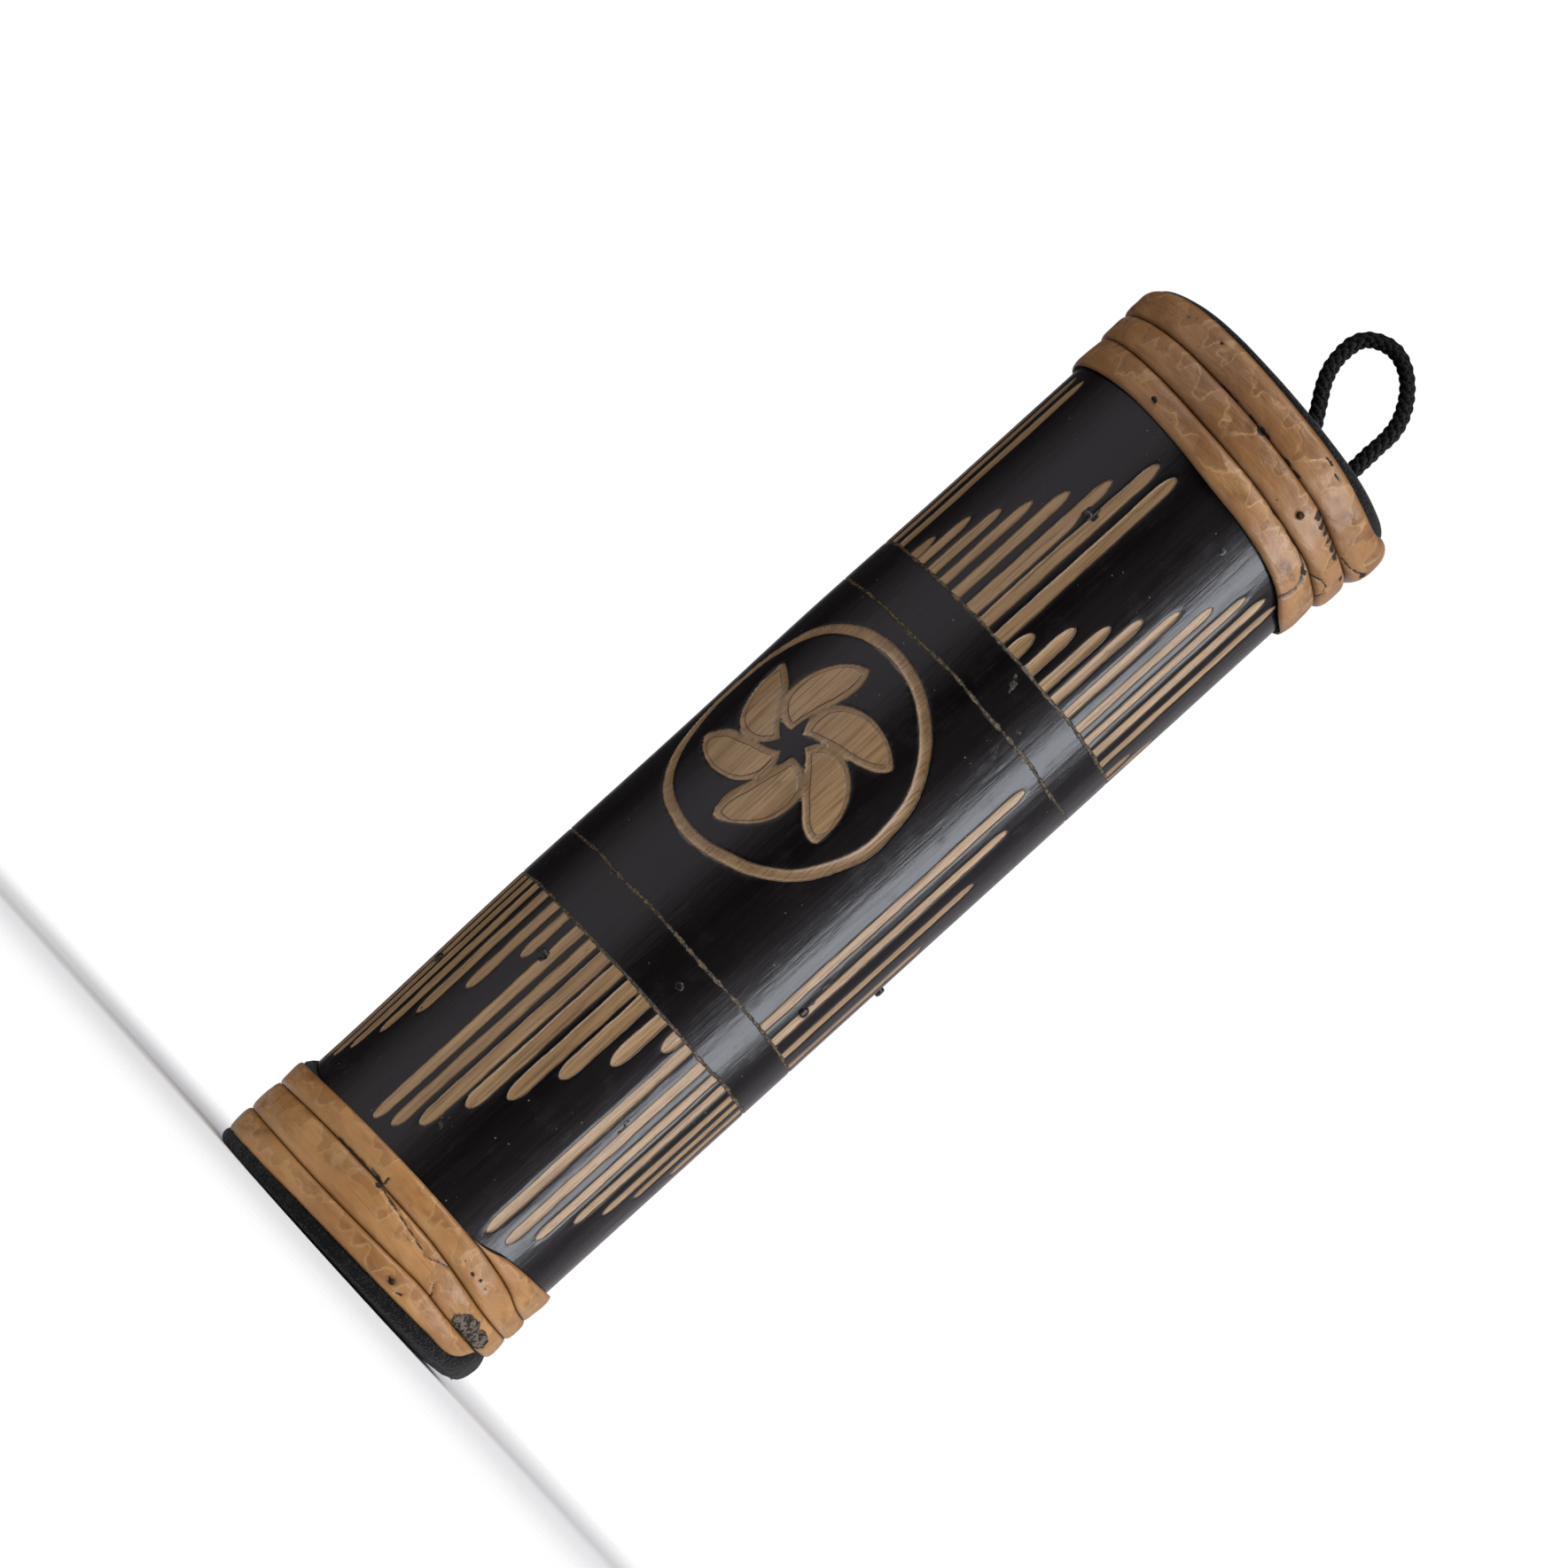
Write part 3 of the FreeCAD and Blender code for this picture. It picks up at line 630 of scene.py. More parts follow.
def make_tube(material):
    """The tube's wall: carved, dented and slightly narrowed outside, plain in the bore."""
    rows = spread(TUBE_FOOT, TUBE_TOP, 252, lambda z: 0.7 * ((z > 82) & (z < 128))
                  + 2.6 * sum(np.exp(-(((z - level) / 0.9) ** 2)) for level in SCORED)
                  - 0.55 * ((z < 17) | (z > 182)))
    columns = spread(-180.0, 180.0, 385, lambda a: 0.25 * ((a > -80) & (a < 24)))[:-1]
    angle, height = np.meshgrid(columns, rows)
    carve, petal, score = carving(angle, height)
    place = on_tube(angle, height, TUBE_R)
    left = -place[..., 0] / TUBE_R
    ripple = waves(place * [1, 1, 0.05], 9.0, 61) + waves(place * [1, 1, 0.2], 30.0, 62)
    narrow = 0.7 * smooth(66.0, 22.0, height) * smooth(0.2, 1.0, left)
    swell = 0.25 * np.exp(-(((height - 122.0) / 18.0) ** 2)) * smooth(0.3, 1.0, left)
    radius = TUBE_R - 0.08 + 0.05 * ripple - narrow + swell - cut_depth(carve, petal, score)
    crack = np.full(angle.shape, CLEAR)
    for stations in TUBE_CRACKS:
        crack = np.minimum(crack, line_gap(angle, height, stations))
    for a, z, size in STAINS:
        crack = np.minimum(crack, np.maximum(point_gap(angle, height, a, z) - size, 0.0))
    for a, z, size in BLISTERS:
        radius += 0.07 * np.exp(-((point_gap(angle, height, a, z) / size) ** 2))
    for a, z, size in PLUGS:
        crack = np.minimum(crack, np.abs(point_gap(angle, height, a, z) - size) + 0.06)
    inner = [on_tube(columns, z, BORE_R + 0.05) for z in np.linspace(TUBE_TOP, TUBE_FOOT, 5)]
    rings = np.concatenate([on_tube(angle, height, radius), inner])
    fields = {"carve": carve, "score": score, "crack": crack, "petal": petal}
    marks = {name: padded(field, len(inner), CLEAR) for name, field in fields.items()}
    make_piece("bamboo_tube", "carved", ring_shape(rings, closed=True, marks=marks), material)


# ---------------------------------------------------------------- rattan hoops

# Edges between the hoops, as heights round the tube: (angle, height).
CROWN_EDGES = [
    [(-130, 179.0), (-74, 179.9), (-37, 180.3), (-15, 179.8), (5, 179.1), (24, 178.8),
     (43, 178.0), (54, 177.1), (67, 175.5), (85, 175.3), (110, 175.6), (160, 177.4)],
    [(-130, 185.0), (-75, 185.9), (-32, 185.4), (-12, 184.9), (12, 184.6), (36, 184.0),
     (51, 183.6), (62, 182.9), (75, 182.5), (100, 182.5), (160, 183.4)],
    [(-130, 190.6), (-75, 191.2), (-40, 191.5), (-20, 191.2), (0, 190.9), (21, 190.4),
     (36, 190.0), (46, 189.3), (62, 188.6), (80, 188.4), (110, 188.3), (160, 189.4)],
    [(-130, 197.0), (-88, 196.7), (-75, 197.1), (-55, 197.8), (-36, 197.9), (-16, 197.6), (5, 197.2),
     (24, 196.9), (36, 196.5), (51, 195.9), (67, 195.8), (82, 196.9), (110, 196.2), (160, 196.6)],
]
BASE_EDGES = [
    [(-130, 2.6), (-68, 2.1), (-44, 2.3), (-23, 2.7), (13, 3.2), (40, 3.6), (57, 4.0),
     (64, 5.2), (80, 5.6), (110, 4.4), (160, 3.0)],
    [(-130, 7.0), (-71, 6.8), (-20, 6.9), (6, 7.4), (26, 7.8), (41, 7.4), (64, 7.2),
     (90, 7.6), (130, 7.4), (170, 7.1)],
    [(-130, 12.7), (-71, 12.8), (-27, 13.6), (0, 13.7), (16, 13.5), (32, 12.8), (49, 12.0),
     (75, 11.7), (110, 12.0), (160, 12.6)],
    [(-130, 17.6), (-70, 17.4), (-27, 18.3), (0, 18.6), (24, 18.4), (38, 18.0), (52, 17.2),
     (62, 16.3), (90, 15.9), (120, 16.9), (160, 17.8)],
]
# Thickness of each crown hoop round the tube: (angle, thickness).
CROWN_THICK = [
    [(-150, 0.9), (-85, 0.4), (-50, 0.8), (0, 1.1), (50, 1.05), (85, 0.5), (120, 0.9)],
    [(-150, 1.0), (-85, 0.75), (-40, 1.0), (10, 1.2), (60, 1.5), (88, 1.5), (120, 1.4)],
    [(-150, 1.0), (-85, 1.1), (-40, 1.05), (10, 1.15), (60, 1.6), (84, 2.6),
     (100, 2.2), (130, 1.3)],
]
# Dark cracks and scarfs on each hoop: half width, stations of (angle, height).
HOOP_CRACKS = {
    "crown_hoop_low": [(0.05, [(36.0, 184.1), (44.0, 183.7), (49.8, 182.9)]),
                       (0.30, [(49.8, 182.9), (54.6, 181.6), (56.1, 180.3), (55.4, 178.6),
                               (54.2, 176.6)])],
    "crown_hoop_middle": [(0.06, [(57.0, 183.3), (62.0, 184.2), (68.0, 184.4), (74.0, 182.6)])],
    "crown_hoop_high": [(0.06, [(62.0, 188.9), (70.0, 189.3), (78.0, 190.4), (84.0, 192.5)])],
    "base_hoop_low": [(0.08, [(15.0, 5.3), (17.2, 4.9)]), (0.06, [(20.6, 4.3), (22.4, 4.8)])],
    "base_hoop_middle": [(0.03, [(-9.1, 13.5), (-1.3, 12.9), (9.3, 12.2), (18.3, 11.4),
                                 (22.0, 12.1), (26.4, 12.8)]),
                         (0.04, [(27.0, 9.6), (29.5, 8.4), (31.5, 6.9)])],
    "base_hoop_high": [(0.06, [(-8.9, 15.2), (-8.6, 14.3)]), (0.05, [(-15.0, 14.3), (-11.0, 14.15)]),
                       (0.10, [(-31.0, 13.7), (-20.0, 13.85), (-9.0, 13.8)])],
}
# Soiled and torn spots near the hoops' edges: (angle, height, half length, half height).
SOILED = {
    "crown_hoop_high": [(-3.0, 191.0, 3.0, 0.4), (3.0, 191.0, 3.0, 0.4), (15.0, 190.6, 3.0, 0.4),
                        (20.0, 190.5, 2.5, 0.4), (-14.0, 191.2, 5.0, 0.3), (82.0, 190.6, 4.0, 0.7),
                        (24.0, 195.8, 2.6, 0.28), (31.0, 195.2, 3.0, 0.28), (-30.0, 195.9, 1.5, 0.4),
                        (-47.0, 195.4, 1.2, 0.3)],
    "crown_hoop_middle": [(1.5, 190.7, 2.5, 0.5), (37.0, 189.3, 1.9, 1.1), (40.6, 189.1, 1.5, 1.2),
                          (44.0, 189.0, 1.9, 1.0), (48.0, 188.7, 1.8, 1.2), (52.0, 188.4, 2.0, 1.0),
                          (56.5, 188.0, 2.2, 1.1), (72.0, 187.2, 3.0, 0.6), (29.0, 183.9, 5.0, 0.3)],
    "crown_hoop_low": [(26.0, 184.2, 5.0, 0.35), (38.0, 183.9, 6.0, 0.35), (53.0, 182.6, 3.5, 0.5)],
    "base_hoop_high": [(-11.0, 14.0, 2.0, 0.35), (29.0, 15.2, 1.6, 0.25), (34.0, 14.9, 2.0, 0.3),
                       (38.0, 15.2, 1.2, 0.4), (42.5, 14.9, 1.3, 0.3)],
    "base_hoop_middle": [(-9.5, 13.3, 1.6, 0.4)],
}
# Charred knots, given like the soiled spots.
BURNT = {"base_hoop_middle": [(50.0, 8.9, 8.5, 1.9), (59.5, 8.7, 9.0, 1.7)]}
BAND_COLUMNS, BAND_ROWS = 640, 22
# Thickness of a strip at its edges, in mm.
RIM = 0.12


def spot(angle, height, places):
    """1 in the middle of each round spot, 0 outside."""
    total = np.zeros(angle.shape)
    for a, z, half_angle, half_height in places:
        far = np.hypot(wrap(angle - a) / half_angle, (height - z) / half_height)
        total = np.maximum(total, np.clip(1.4 - far, 0.0, 1.0))
    return total


def band(label, angle, low, high, thick, seed):
    """Rings of points and marks of one strip of rattan: flat inside, bowed outside.
    Rows go round the strip's section, columns along the strip."""
    across = np.sin(np.linspace(-1, 1, BAND_ROWS) * math.pi / 2)
    across = np.sign(across) * np.abs(across) ** 0.9
    a, s = np.meshgrid(angle, across)
    height = low + (high - low) * (s + 1) / 2
    place = on_tube(a, height, HOOP_IN)
    bow = (1 - np.abs(s) ** 3.6) ** 0.6
    radius = HOOP_IN + RIM + (thick - RIM) * bow
    radius += bow * (0.09 * waves(place * [1, 1, 2.0], 11.0, seed)
                     + 0.035 * waves(place, 3.5, seed + 1))
    crack = np.full(a.shape, CLEAR)
    for half_width, stations in HOOP_CRACKS.get(label, []):
        crack = np.minimum(crack, np.maximum(line_gap(a, height, stations) - half_width, 0.0))
    burn = spot(a, height, BURNT.get(label, []))
    shade = spot(a, height, SOILED.get(label, []))
    radius -= 0.45 * smooth(0.35, 0.0, crack) * bow
    radius -= burn * (0.25 + 0.12 * waves(place, 1.1, seed + 2))
    radius -= 0.18 * smooth(0.3, 1.0, shade)
    radius = np.maximum(radius, HOOP_IN + 0.05)
    back = [on_tube(angle, row, HOOP_IN + LIFT) for row in (height[-1], height[0])]
    marks = {"across": padded(s, 2, 1.0), "crack": padded(crack, 2, CLEAR),
             "burn": padded(burn, 2, 0.0), "shade": padded(shade, 2, 0.0)}
    return np.concatenate([on_tube(a, height, radius), back]), marks


def closed_band(label, edges, thick, seed):
    """A hoop that goes all the way round, between two lists of edge stations."""
    angle = np.linspace(-180.0, 180.0, BAND_COLUMNS, endpoint=False)
    low, high = (round_curve(e)(angle) for e in edges)
    rings, marks = band(label, angle, low + 0.04, high - 0.04, thick(angle), seed)
    return ring_shape(rings, closed=True, marks=marks)


def open_band(label, start, end, edges, thick, taper, seed):
    """A strip from one angle to another between two functions of the angle. taper is the degrees
    over which each end comes to a point, and where across the strip the points are."""
    angle = np.linspace(start, end, max(24, int(abs(end - start) / 360.0 * BAND_COLUMNS)))
    tip = np.minimum(smooth(-0.05, 1.0, (angle - start) / taper[0]),
                     smooth(-0.05, 1.0, (end - angle) / taper[1]))
    low, high = edges[0](angle), edges[1](angle)
    middle = low + (high - low) * taper[2]
    low, high = middle + (low - middle) * tip, middle + (high - middle) * tip
    rings, marks = band(label, angle, low + 0.03, high - 0.03,
                        thick(angle) * (0.35 + 0.65 * tip), seed)
    rows, count = rings.shape[:2]
    faces = grid_faces(rows, count, closed_rows=True, closed_columns=False)
    faces += [range(0, rows * count, count), range(count - 1, rows * count, count)[::-1]]
    return rings.reshape(-1, 3), faces, marks


TAIL_CREST = round_curve([(-120, 20.0), (20, 18.8), (32, 19.6), (46, 20.6), (68, 21.2),
                          (95, 21.4), (130, 20.4)])


def tail_crest(angle):
    """Upper edge of the loose tail of the highest base hoop; low where there is none."""
    present = smooth(24.0, 40.0, wrap(angle)) * smooth(128.0, 104.0, wrap(angle))
    return TAIL_CREST(angle) * present


def make_hoops(crown, base):
    shapes = {}
    for number, name in enumerate(("low", "middle", "high")):
        label = f"crown_hoop_{name}"
        shapes[label] = closed_band(label, CROWN_EDGES[number:number + 2],
                                    round_curve(CROWN_THICK[number]), 100 + 10 * number)
    even = round_curve([(-150, 0.9), (-88, 0.5), (-50, 0.8), (0, 0.95), (55, 0.95), (88, 0.65),
                        (130, 0.9)])
    curves = [round_curve(e) for e in BASE_EDGES]
    low, middle, high = (f"base_hoop_{name}" for name in ("low", "middle", "high"))
    shapes[low] = open_band(low, -252.0, 70.0, curves[0:2], even, (34.0, 10.0, 0.9), 140)
    shapes[middle] = closed_band(middle, BASE_EDGES[1:3], even, 150)
    tail = open_band("tail", 22.0, 132.0, [curves[3], TAIL_CREST], lambda a: even(a) * 0.95,
                     (20.0, 30.0, 0.15), 170)
    shapes[high] = joined([closed_band(high, BASE_EDGES[2:4], even, 160), tail])
    for label, shape in shapes.items():
        make_piece(label, "rattan", shape, crown if "crown" in label else base)


# ---------------------------------------------------------------- cloth covers

COVER_ANGLES = np.linspace(-180, 180, 420, endpoint=False)
SKIRT_IN = TUBE_R + 0.06
# The crown's cloth: its dome's radius, middle height and rise, its rim's radius and rounding.
DOME_R, CROWN_TOP, DOME_RISE = 24.0, 198.35, 0.55
EDGE_R, EDGE_ROUND = 26.16, 1.5


def lay_cover(end, profile, first, last, material):
    """A cloth cover turned from rows of (radius, height), closed on the axis at two heights."""
    rings = np.stack([on_tube(COVER_ANGLES, z, r) for r, z in profile])
    rings[..., 2] = np.maximum(rings[..., 2], 0.0)
    piece = make_piece(f"{end}_cover", "cloth", capped_shape(rings, first, last), material)


def make_crown_cover(material):
    """The cloth over the upper end: a low dome with a rolled rim, pierced by the loop."""
    angle = COVER_ANGLES
    rim_edge_and_shade = round_curve([(-130, 198.2), (-75, 198.3), (-38, 198.9), (-10, 198.6), (20, 198.3),
                       (40, 198.2), (60, 197.9), (85, 197.8), (120, 197.9), (165, 198.0)])(angle)
    skirt = round_curve(CROWN_EDGES[0])(angle) + 0.35
    wrinkle = waves(on_tube(angle, 0, 26), 5.0, 71)
    pleat = waves(on_tube(angle, 0, 26), 2.4, 72)
    profile = [(0.6, 198.0), (20.0, 197.35), (25.0, np.minimum(197.35, rim_edge_and_shade - 0.5)),
               (SKIRT_IN, np.minimum(197.1, rim_edge_and_shade - 0.9)), (SKIRT_IN, skirt), (26.10, skirt),
               (26.14, skirt + 8)]
    for turn in np.radians(np.linspace(0, 84, 9)):
        profile.append((EDGE_R - EDGE_ROUND + EDGE_ROUND * math.cos(turn) + 0.03 * wrinkle,
                        rim_edge_and_shade - EDGE_ROUND + EDGE_ROUND * math.sin(turn)))
    for r in np.linspace(DOME_R, 0.6, 47):
        blend = smooth(4.0, DOME_R, r)
        level = rim_edge_and_shade * blend + CROWN_TOP * (1 - blend) + DOME_RISE * (1 - (r / DOME_R) ** 2)
        level += 0.10 * wrinkle * smooth(6.0, 22.0, r) + 0.09 * pleat * smooth(20.0, 25.0, r)
        place = on_tube(angle, 0, r)
        for x, y, z in (CORD_ROUTE[1], CORD_ROUTE[-2]):
            gap = np.hypot(place[:, 0] - x / MM, place[:, 1] - y / MM)
            level += 0.32 * np.exp(-(((gap - 1.7) / 0.8) ** 2))
        profile.append((r, level))
    lay_cover("top", profile, 198.0, CROWN_TOP + DOME_RISE, material)


def make_base_cover(material):
    """The cloth under the lower end: flat below, with a soft roll squeezed out under the hoops."""
    angle = COVER_ANGLES
    top = round_curve([(-130, 3.2), (-75, 2.7), (-44, 2.9), (-10, 3.3), (30, 3.8), (52, 4.4),
                       (62, 5.4), (72, 8.0), (88, 8.4), (108, 6.6), (135, 4.0)])(angle)
    foot = round_curve([(-140, 0.3), (-80, 0.0), (-55, 0.1), (-30, 0.3), (10, 0.7), (40, 1.1),
                        (66, 1.5), (90, 1.6), (120, 1.0), (160, 0.5)])(angle)
    out = round_curve([(-150, 26.7), (-85, 26.6), (-50, 26.7), (0, 26.7), (40, 26.7), (66, 26.9),
                       (84, 26.75), (105, 26.9), (140, 26.8)])(angle)
    out += 0.12 * waves(on_tube(angle, 0, 26), 6.0, 81)
    skirt = np.maximum(round_curve(BASE_EDGES[3])(angle), tail_crest(angle)) - 0.3
    flare = 2.4 * np.exp(-(((angle + 92) / 22.0) ** 2))
    middle, half = (top + foot) / 2, (top - foot) / 2
    depth = np.minimum(half, 1.6)
    profile = [(1.0, 0.25), (12.0, 0.2), (20.0, 0.12), (24.0, 0.02 + 0.5 * foot)]
    for turn in np.radians(np.linspace(-80, 80, 15)):
        level = middle + half * math.sin(turn)
        fold = 0.06 * waves(on_tube(angle, level, out), 2.4, 82)
        profile.append((out - depth + depth * math.cos(turn) + fold, level))
    under = TUBE_FOOT - 0.15
    profile += [(26.12, top + 0.05), (26.1, skirt),
                (SKIRT_IN + 0.2 * flare, skirt + 0.3 * flare),
                (TUBE_R + 0.02 - 0.05 * flare, skirt + 0.7 * flare),
                (TUBE_R - 0.36 * flare, skirt + flare),
                (TUBE_R + 0.04 - 0.4 * flare, skirt + 0.2 * flare),
                (SKIRT_IN, skirt - 1.0), (SKIRT_IN, under), (1.0, under)]
    lay_cover("bottom", profile, 0.25, under, material)


# ---------------------------------------------------------------- hanging loop

# Yarns each way round, and the length in which one goes once round, in mm.
STRANDS, BRAID_TURN = 4, 6.2
# Radii in mm: the core, a flattened yarn across and through, and the yarn of the knots.
CORE_R, STRAND_WIDE, STRAND_THICK, KNOT_YARN_R = 0.93, 0.58, 0.29, 1.12


def smooth_route():
    """Points along the route's NURBS line, in millimetres."""
    curve = bpy.data.curves.new("loop_line", "CURVE")
    curve.dimensions = "3D"
    curve.resolution_u = 26
    spline = curve.splines.new("NURBS")
    spline.points.add(len(CORD_ROUTE) - 1)
    for point, place in zip(spline.points, CORD_ROUTE):
        point.co = (*place, 1.0)
    spline.use_endpoint_u = True
    spline.order_u = 3
    holder = bpy.data.objects.new("loop_line", curve)
    mesh = bpy.data.meshes.new_from_object(holder)
    line = np.array([v.co[:] for v in mesh.vertices]) / MM
    bpy.data.objects.remove(holder)
    bpy.data.curves.remove(curve)
    bpy.data.meshes.remove(mesh)
    return line


def unit(vectors):
    """Rows of vectors made one long."""
    return vectors / np.linalg.norm(vectors, axis=-1, keepdims=True)


def frames_along(line):
    """Distance run, and two cross directions that don't twist, at each point of a line."""
    ahead = unit(np.gradient(line, axis=0))
    run = np.concatenate([[0.0], np.cumsum(np.linalg.norm(np.diff(line, axis=0), axis=1))])
    side = np.zeros_like(line)
    side[0] = np.cross(ahead[0], [0, 1, 0])
    for k in range(1, len(line)):
        side[k] = unit(side[k - 1] - ahead[k] * (side[k - 1] @ ahead[k]))
    return run, side, np.cross(ahead, side)


def rings_along(centre, side, up, wide, thick, sides):
    """Rings of points round the places of a line, wide along side and thick along up."""
    turn = np.linspace(0, 2 * math.pi, sides, endpoint=False)[None, :, None]
    return (centre[:, None, :] + np.cos(turn) * wide * side[:, None, :]
            + np.sin(turn) * thick * up[:, None, :])


def make_knot(node, material):
    """The end of the loop tied in a tight knot below the disc."""
    low, high = (np.array(corner) for corner in box_mm(node))
    turn = np.linspace(0, 2 * math.pi, 120, endpoint=False)
    shape = np.stack([np.sin(turn) + 2 * np.sin(2 * turn), np.cos(turn) - 2 * np.cos(2 * turn),
                      -1.1 * np.sin(3 * turn)], axis=1)
    line = (low + high) / 2 + shape * ((high[0] - low[0]) / 2 - 1.15) / 3.0
    ahead = unit(np.roll(line, -1, axis=0) - np.roll(line, 1, axis=0))
    side = unit(np.cross(ahead, [0, 0, 1.0]))
    ring = np.linspace(0, 2 * math.pi, 18, endpoint=False)
    yarn = KNOT_YARN_R * (1 + 0.07 * np.cos(6 * ring[None, :] + 14 * turn[:, None]))[..., None]
    rings = rings_along(line, side, np.cross(side, ahead), yarn, yarn, len(ring))
    return make_piece(node, "tied", ring_shape(rings, closed=True), material)


def make_loop(material):
    """Eight yarns plaited over and under round a core."""
    line = smooth_route()
    run, side, up = frames_along(line)
    even = np.linspace(0, run[-1], 420)
    line, side, up = (np.stack([np.interp(even, run, v[:, k]) for k in range(3)], axis=1)
                      for v in (line, side, up))
    plump = (1 + 0.04 * waves(line, 5.0, 91))[:, None]
    yarns = [rings_along(line, side, up, CORE_R, CORE_R, 12)]
    for way in (1.0, -1.0):
        for number in range(STRANDS):
            turn = way * 2 * math.pi * even / BRAID_TURN + 2 * math.pi * number / STRANDS
            lift = 0.98 + 0.13 * way * np.cos(STRANDS * 2 * math.pi * even / BRAID_TURN)
            out = np.cos(turn)[:, None] * side + np.sin(turn)[:, None] * up
            centre = line + out * lift[:, None] * plump
            across = np.cross(unit(np.gradient(centre, axis=0)), out)
            yarns.append(rings_along(centre, across, out, STRAND_WIDE, STRAND_THICK, 10))
    loop = make_piece("cord_loop", "braid", joined([ring_shape(y) for y in yarns]), material)
    knots = [make_knot("loop_knot_left", material), make_knot("loop_knot_right", material)]


# ---------------------------------------------------------------- pins, brads, seeds

PIN_COUNT, SEED_GROUPS = 14, 9
# How far pins stand out of the lacquer, in mm, by number from the top; the rest are flush.
PIN_PROUD = {2: 0.35, 8: 0.62, 9: 0.5, 11: 0.25}
PIN_FLUSH = -0.03
# How far each pin goes on past the tube's axis, in mm.
PIN_REACH = 6.0
# Nails through the hoops: node, head radius in mm.
HEADS = {"crown_brad_right": 0.66, "crown_brad_left": 0.42, "base_brad": 0.5}


def driven(node):
    """Corners and middle of a node driven through the wall, and its level direction outwards."""
    low, high = (np.array(corner) for corner in box_mm(node))
    middle = (low + high) / 2
    return low, high, middle, unit(middle * [1, 1, 0])


def rod(direction, height, run, width, sides, waver):
    """Rings of a level rod with a radius at each distance from the axis. waver is the unevenness
    round it, as (size, count, shift)."""
    turn = np.linspace(0, 2 * math.pi, sides, endpoint=False)
    uneven = 1 + sum(size * np.sin(count * turn + shift) for size, count, shift in waver)
    radius = (width[:, None] * uneven[None, :])[..., None]
    centre = direction * run[:, None] + [0, 0, height]
    side = np.cross(direction, [0, 0, 1.0])[None, :]
    return rings_along(centre, side, np.array([[0, 0, 1.0]]), radius, radius, sides)


def make_pins(material):
    """Baffle slivers: slightly uneven rods with a rounded, painted outer end."""
    for number in range(1, PIN_COUNT + 1):
        node = f"baffle_pin_{number:02d}"
        low, high, middle, direction = driven(node)
        reach = 2 * np.linalg.norm(middle[:2]) + PIN_REACH
        end = min(reach, TUBE_R + PIN_PROUD.get(number, PIN_FLUSH))
        run = np.concatenate([[-PIN_REACH, 0.15 - PIN_REACH],
                              np.linspace(1 - PIN_REACH, end - 0.35, 26),
                              [end - 0.18, end - 0.05, end]])
        width = np.full(len(run), (high[2] - low[2]) / 2 * 0.97)
        width[0] *= 0.6
        width[-3:] *= [0.93, 0.75, 0.35]
        rings = rod(direction, middle[2], run, width, 20,
                    ((0.05, 3, number), (0.03, 5, 2 * number)))
        outside = np.repeat(smooth(TUBE_R - 1.4, TUBE_R - 0.6, run), rings.shape[1])
        make_piece(node, "sliver", ring_shape(rings, marks={"outside": outside}), material)


def make_brads(material):
    """Small nails through the hoops, with worn domed heads."""
    for node, head in HEADS.items():
        low, high, middle, direction = driven(node)
        ends = [np.array([x, y, 0]) @ direction
                for x in (low[0], high[0]) for y in (low[1], high[1])]
        top, start = max(ends) - 0.15, min(ends) + 0.3
        run = np.array([start, start + 0.8, top - 0.4, top - 0.38, top - 0.15, top - 0.05, top])
        width = np.array([0.05, 0.3, 0.32, head, head * 0.96, head * 0.7, head * 0.2])
        rings = rod(direction, middle[2], run, width, 24, ((0.06, 3, 20 * head), (0.04, 7, 0.0)))
        make_piece(node, "nail", ring_shape(rings), material)


def make_seeds(material):
    """The loose seeds, with uneven skins. Each group rides on its own body."""
    for number in range(1, SEED_GROUPS + 1):
        node = f"seeds_{number}"
        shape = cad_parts[node].data
        points = np.array([v.co[:] for v in shape.vertices]) / MM
        bumps = np.stack([waves(points, 3.0, 200 + 3 * number + k) for k in range(3)], axis=1)
        faces = [tuple(p.vertices) for p in shape.polygons]
        make_piece(node, "skins", (points + 0.09 * bumps, faces, {}), material, body=node)


def finish_nodes(slots):
    """Procedural materials on the CAD nodes that stay."""
    for node, material in slots.items():
        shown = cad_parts[node]
        shown.data.materials.clear()
        shown.data.materials.append(material)


# ---------------------------------------------------------------- camera, light, floor

def make_camera():
    """A long lens level with the base, looking slightly up and turned on its own axis."""
    pitch, roll = math.radians(4.10), math.radians(47.86)
    ahead = Vector((0.0, math.cos(pitch), math.sin(pitch)))
    right = Vector((1.0, 0.0, 0.0))
    up = right.cross(ahead)
    turned_right = right * math.cos(roll) + up * math.sin(roll)
    turned_up = up * math.cos(roll) - right * math.sin(roll)
    data = bpy.data.cameras.new("camera")
    data.sensor_width = 36.0
    data.lens = 171.6
    camera = bpy.data.objects.new("camera", data)
    turn = Matrix((turned_right, turned_up, -ahead)).transposed().to_4x4()
    camera.matrix_world = Matrix.Translation((-0.0083, -1.1633, 0.0185)) @ turn
    bpy.context.scene.collection.objects.link(camera)
    bpy.context.scene.camera = camera


def area_light(name, place, target, size, power, color=(1, 1, 1)):
    data = bpy.data.lights.new(name, "AREA")
    data.shape = "RECTANGLE"
    data.size, data.size_y = size
    data.energy = power
    data.color = color
    light = bpy.data.objects.new(name, data)
    light.location = place
    light.rotation_euler = (Vector(target) - Vector(place)).to_track_quat("-Z", "Y").to_euler()
    bpy.context.scene.collection.objects.link(light)


# How bright the studio walls are that the lacquer mirrors, by angle from -Y towards +X.
WALLS = [(-180, 0.5), (-158, 0.03), (-120, 0.02), (-100, 0.22), (-84, 0.5), (-62, 0.62),
         (-42, 0.6), (-30, 0.42), (-17, 0.14), (-8, 0.0), (10, 0.0), (20, 0.12), (30, 0.05),
         (42, 0.25), (54, 0.55), (96, 0.5), (112, 0.17), (124, 0.22), (150, 0.38), (180, 0.5)]


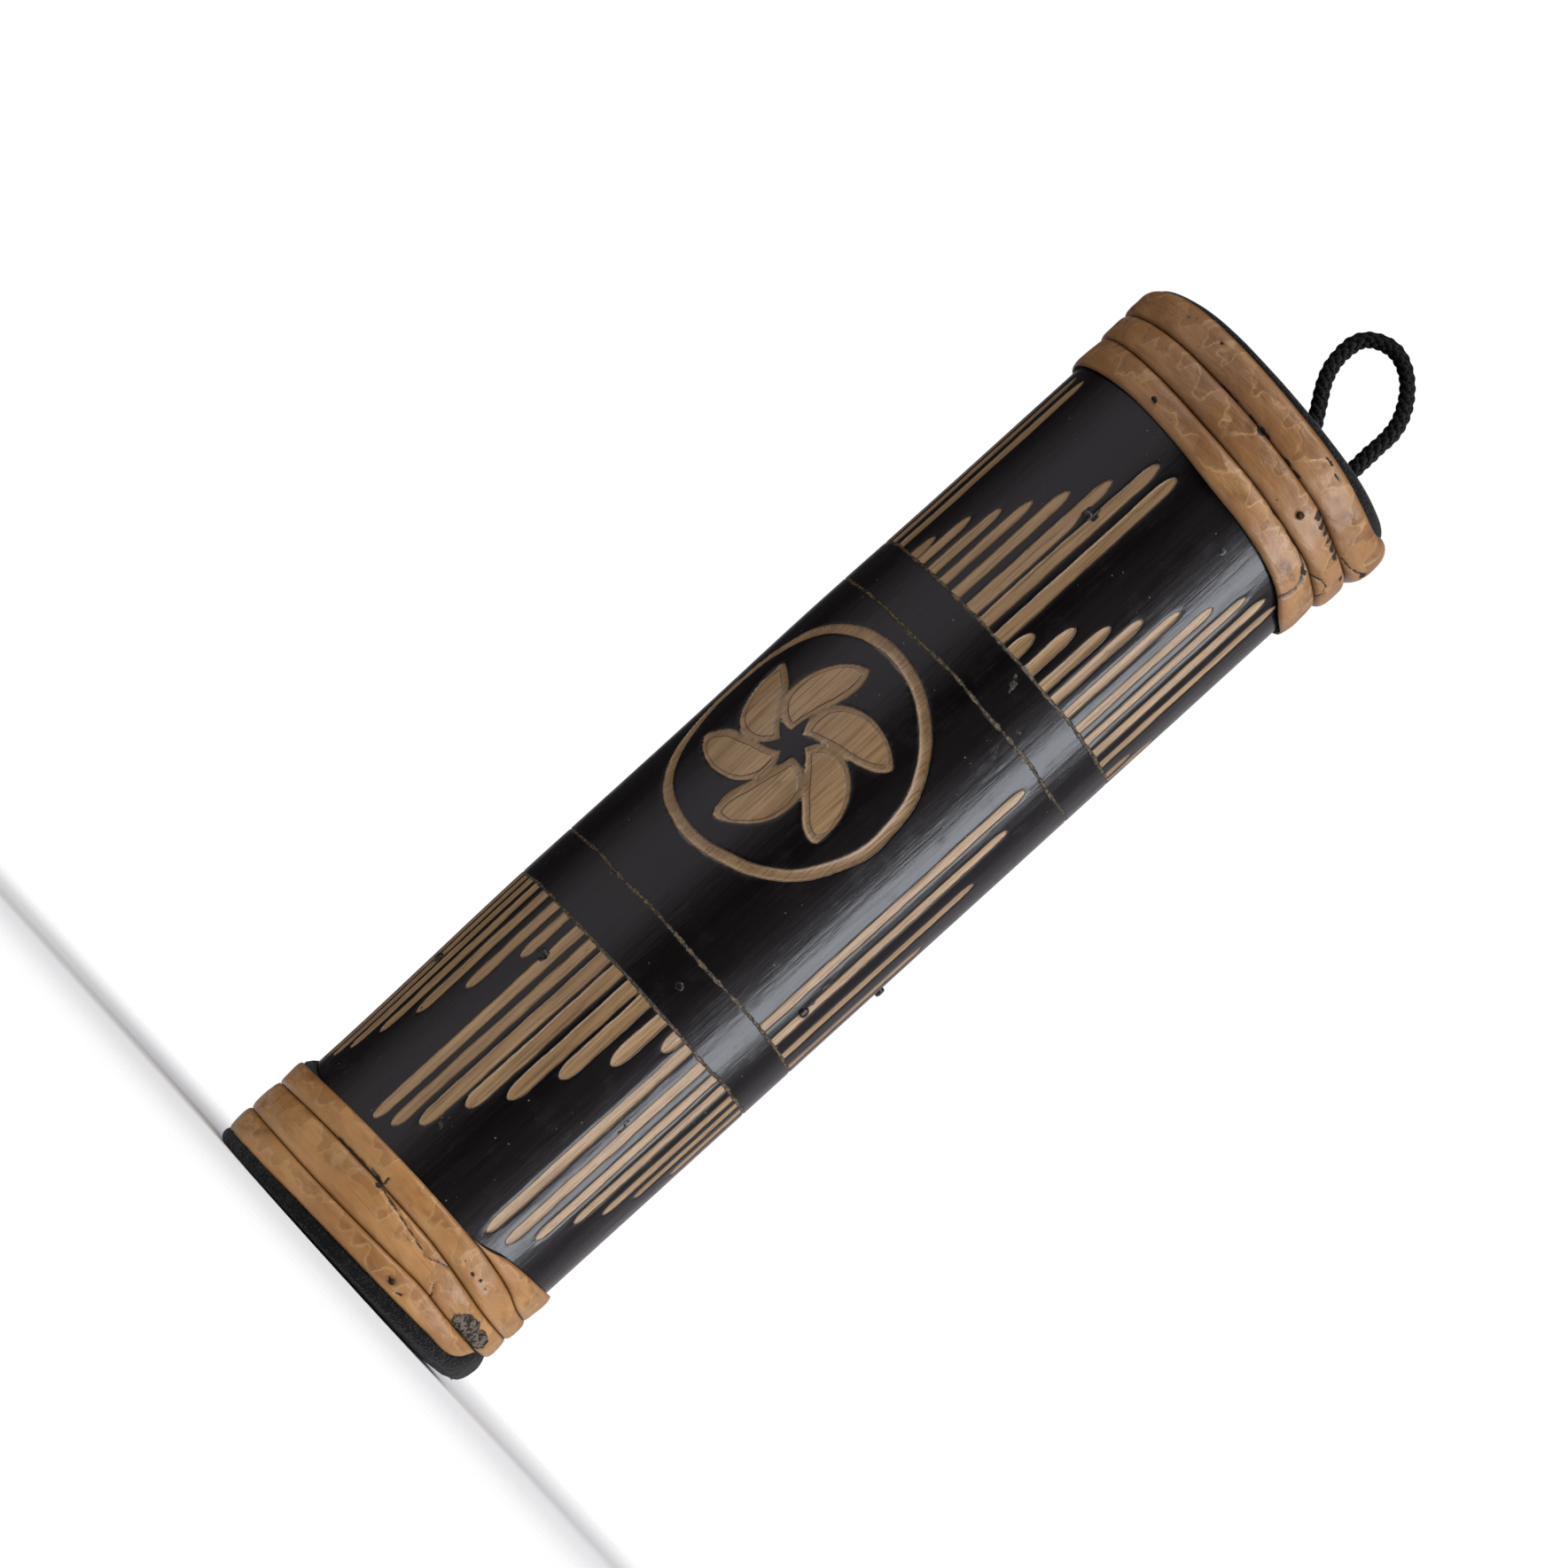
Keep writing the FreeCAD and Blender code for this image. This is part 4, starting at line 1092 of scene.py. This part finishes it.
def make_world():
    """White behind the object; for light and reflections, walls of uneven brightness."""
    world = bpy.data.worlds.new("studio")
    bpy.context.scene.world = world
    world.use_nodes = True
    world.node_tree.nodes.clear()
    n = Nodes(world.node_tree)
    place = n.node("TexCoord").outputs["Generated"]
    x, y, z = n.node("SeparateXYZ", {0: place}).outputs
    turn = n.math("ARCTAN2", x, n.times(y, -1.0))
    share = n.node("MapRange", {"Value": turn, "From Min": -math.pi, "From Max": math.pi})
    ramp = n.node("ValToRGB", {0: share.outputs[0]})
    stops = ramp.color_ramp.elements
    for number, (angle, bright) in enumerate(WALLS):
        at = (angle + 180.0) / 360.0
        stop = stops[number] if number < 2 else stops.new(at)
        stop.position = at
        stop.color = (bright, bright * 0.95, bright * 1.02, 1.0)
    level = n.step(n.math("ABSOLUTE", z), 0.25, 0.55, 1.0, 0.3)
    room = n.node("Background", {"Color": ramp.outputs[0], "Strength": level})
    white = n.node("Background", {"Color": (1.0, 1.0, 1.0, 1.0)})
    seen = n.node("LightPath").outputs["Is Camera Ray"]
    mix = n.node("MixShader", {0: seen, 1: room.outputs[0], 2: white.outputs[0]})
    n.node("OutputWorld", {0: mix.outputs[0]})


def make_floor():
    """Pale paper that fades into the white backdrop away from the object."""
    side = 30.0
    mesh = bpy.data.meshes.new("floor")
    corners = [(-side, -side, 0), (side, -side, 0), (side, side, 0), (-side, side, 0)]
    mesh.from_pydata(corners, [], [(0, 1, 2, 3)])
    r = Recipe("floor_paper", Specular_IOR_Level=0.0)
    away = r.node("VectorMath", {0: r.place}, operation="LENGTH").outputs["Value"]
    r.put(r.shader.inputs["Alpha"], r.fall(away, 0.05, 0.30))
    paper = r.mix(r.noise(300.0, detail=2.0), (0.90, 0.90, 0.90, 1), (0.94, 0.94, 0.94, 1))
    mesh.materials.append(r.finish(paper, 1.0))
    floor = bpy.data.objects.new("floor", mesh)
    bpy.context.scene.collection.objects.link(floor)


def make_stage():
    make_world()
    make_floor()
    area_light("side_strip", (1.15, -0.30, 0.25), (0, 0, 0.1), (0.52, 1.7), 16.8, (0.86, 0.91, 1.0))
    area_light("key_above", (0.45, -1.0, 1.35), (0, 0, 0.1), (1.1, 0.8), 13.5, (1.0, 0.98, 0.95))
    area_light("fill_above", (-0.9, -0.7, 1.2), (0, 0, 0.1), (1.0, 1.0), 6.5)
    bpy.context.scene.view_settings.view_transform = "Standard"


make_camera()
cloth = cloth_material()
yarn = cord_material()
make_tube(bamboo_material())
make_hoops(rattan_material("rattan_crown", (96, 60, 31), (144, 101, 62), (168, 125, 82), 0.64, 1.0),
           rattan_material("rattan_base", (108, 69, 33), (160, 113, 63), (186, 138, 84), 0.46, 21.0))
make_crown_cover(cloth)
make_base_cover(cloth)
make_loop(yarn)
make_pins(pin_material())
disc_wood = disc_material()
make_brads(brad_material())
make_seeds(seed_material())
finish_nodes({"top_disc": disc_wood, "bottom_disc": disc_wood})
make_stage()
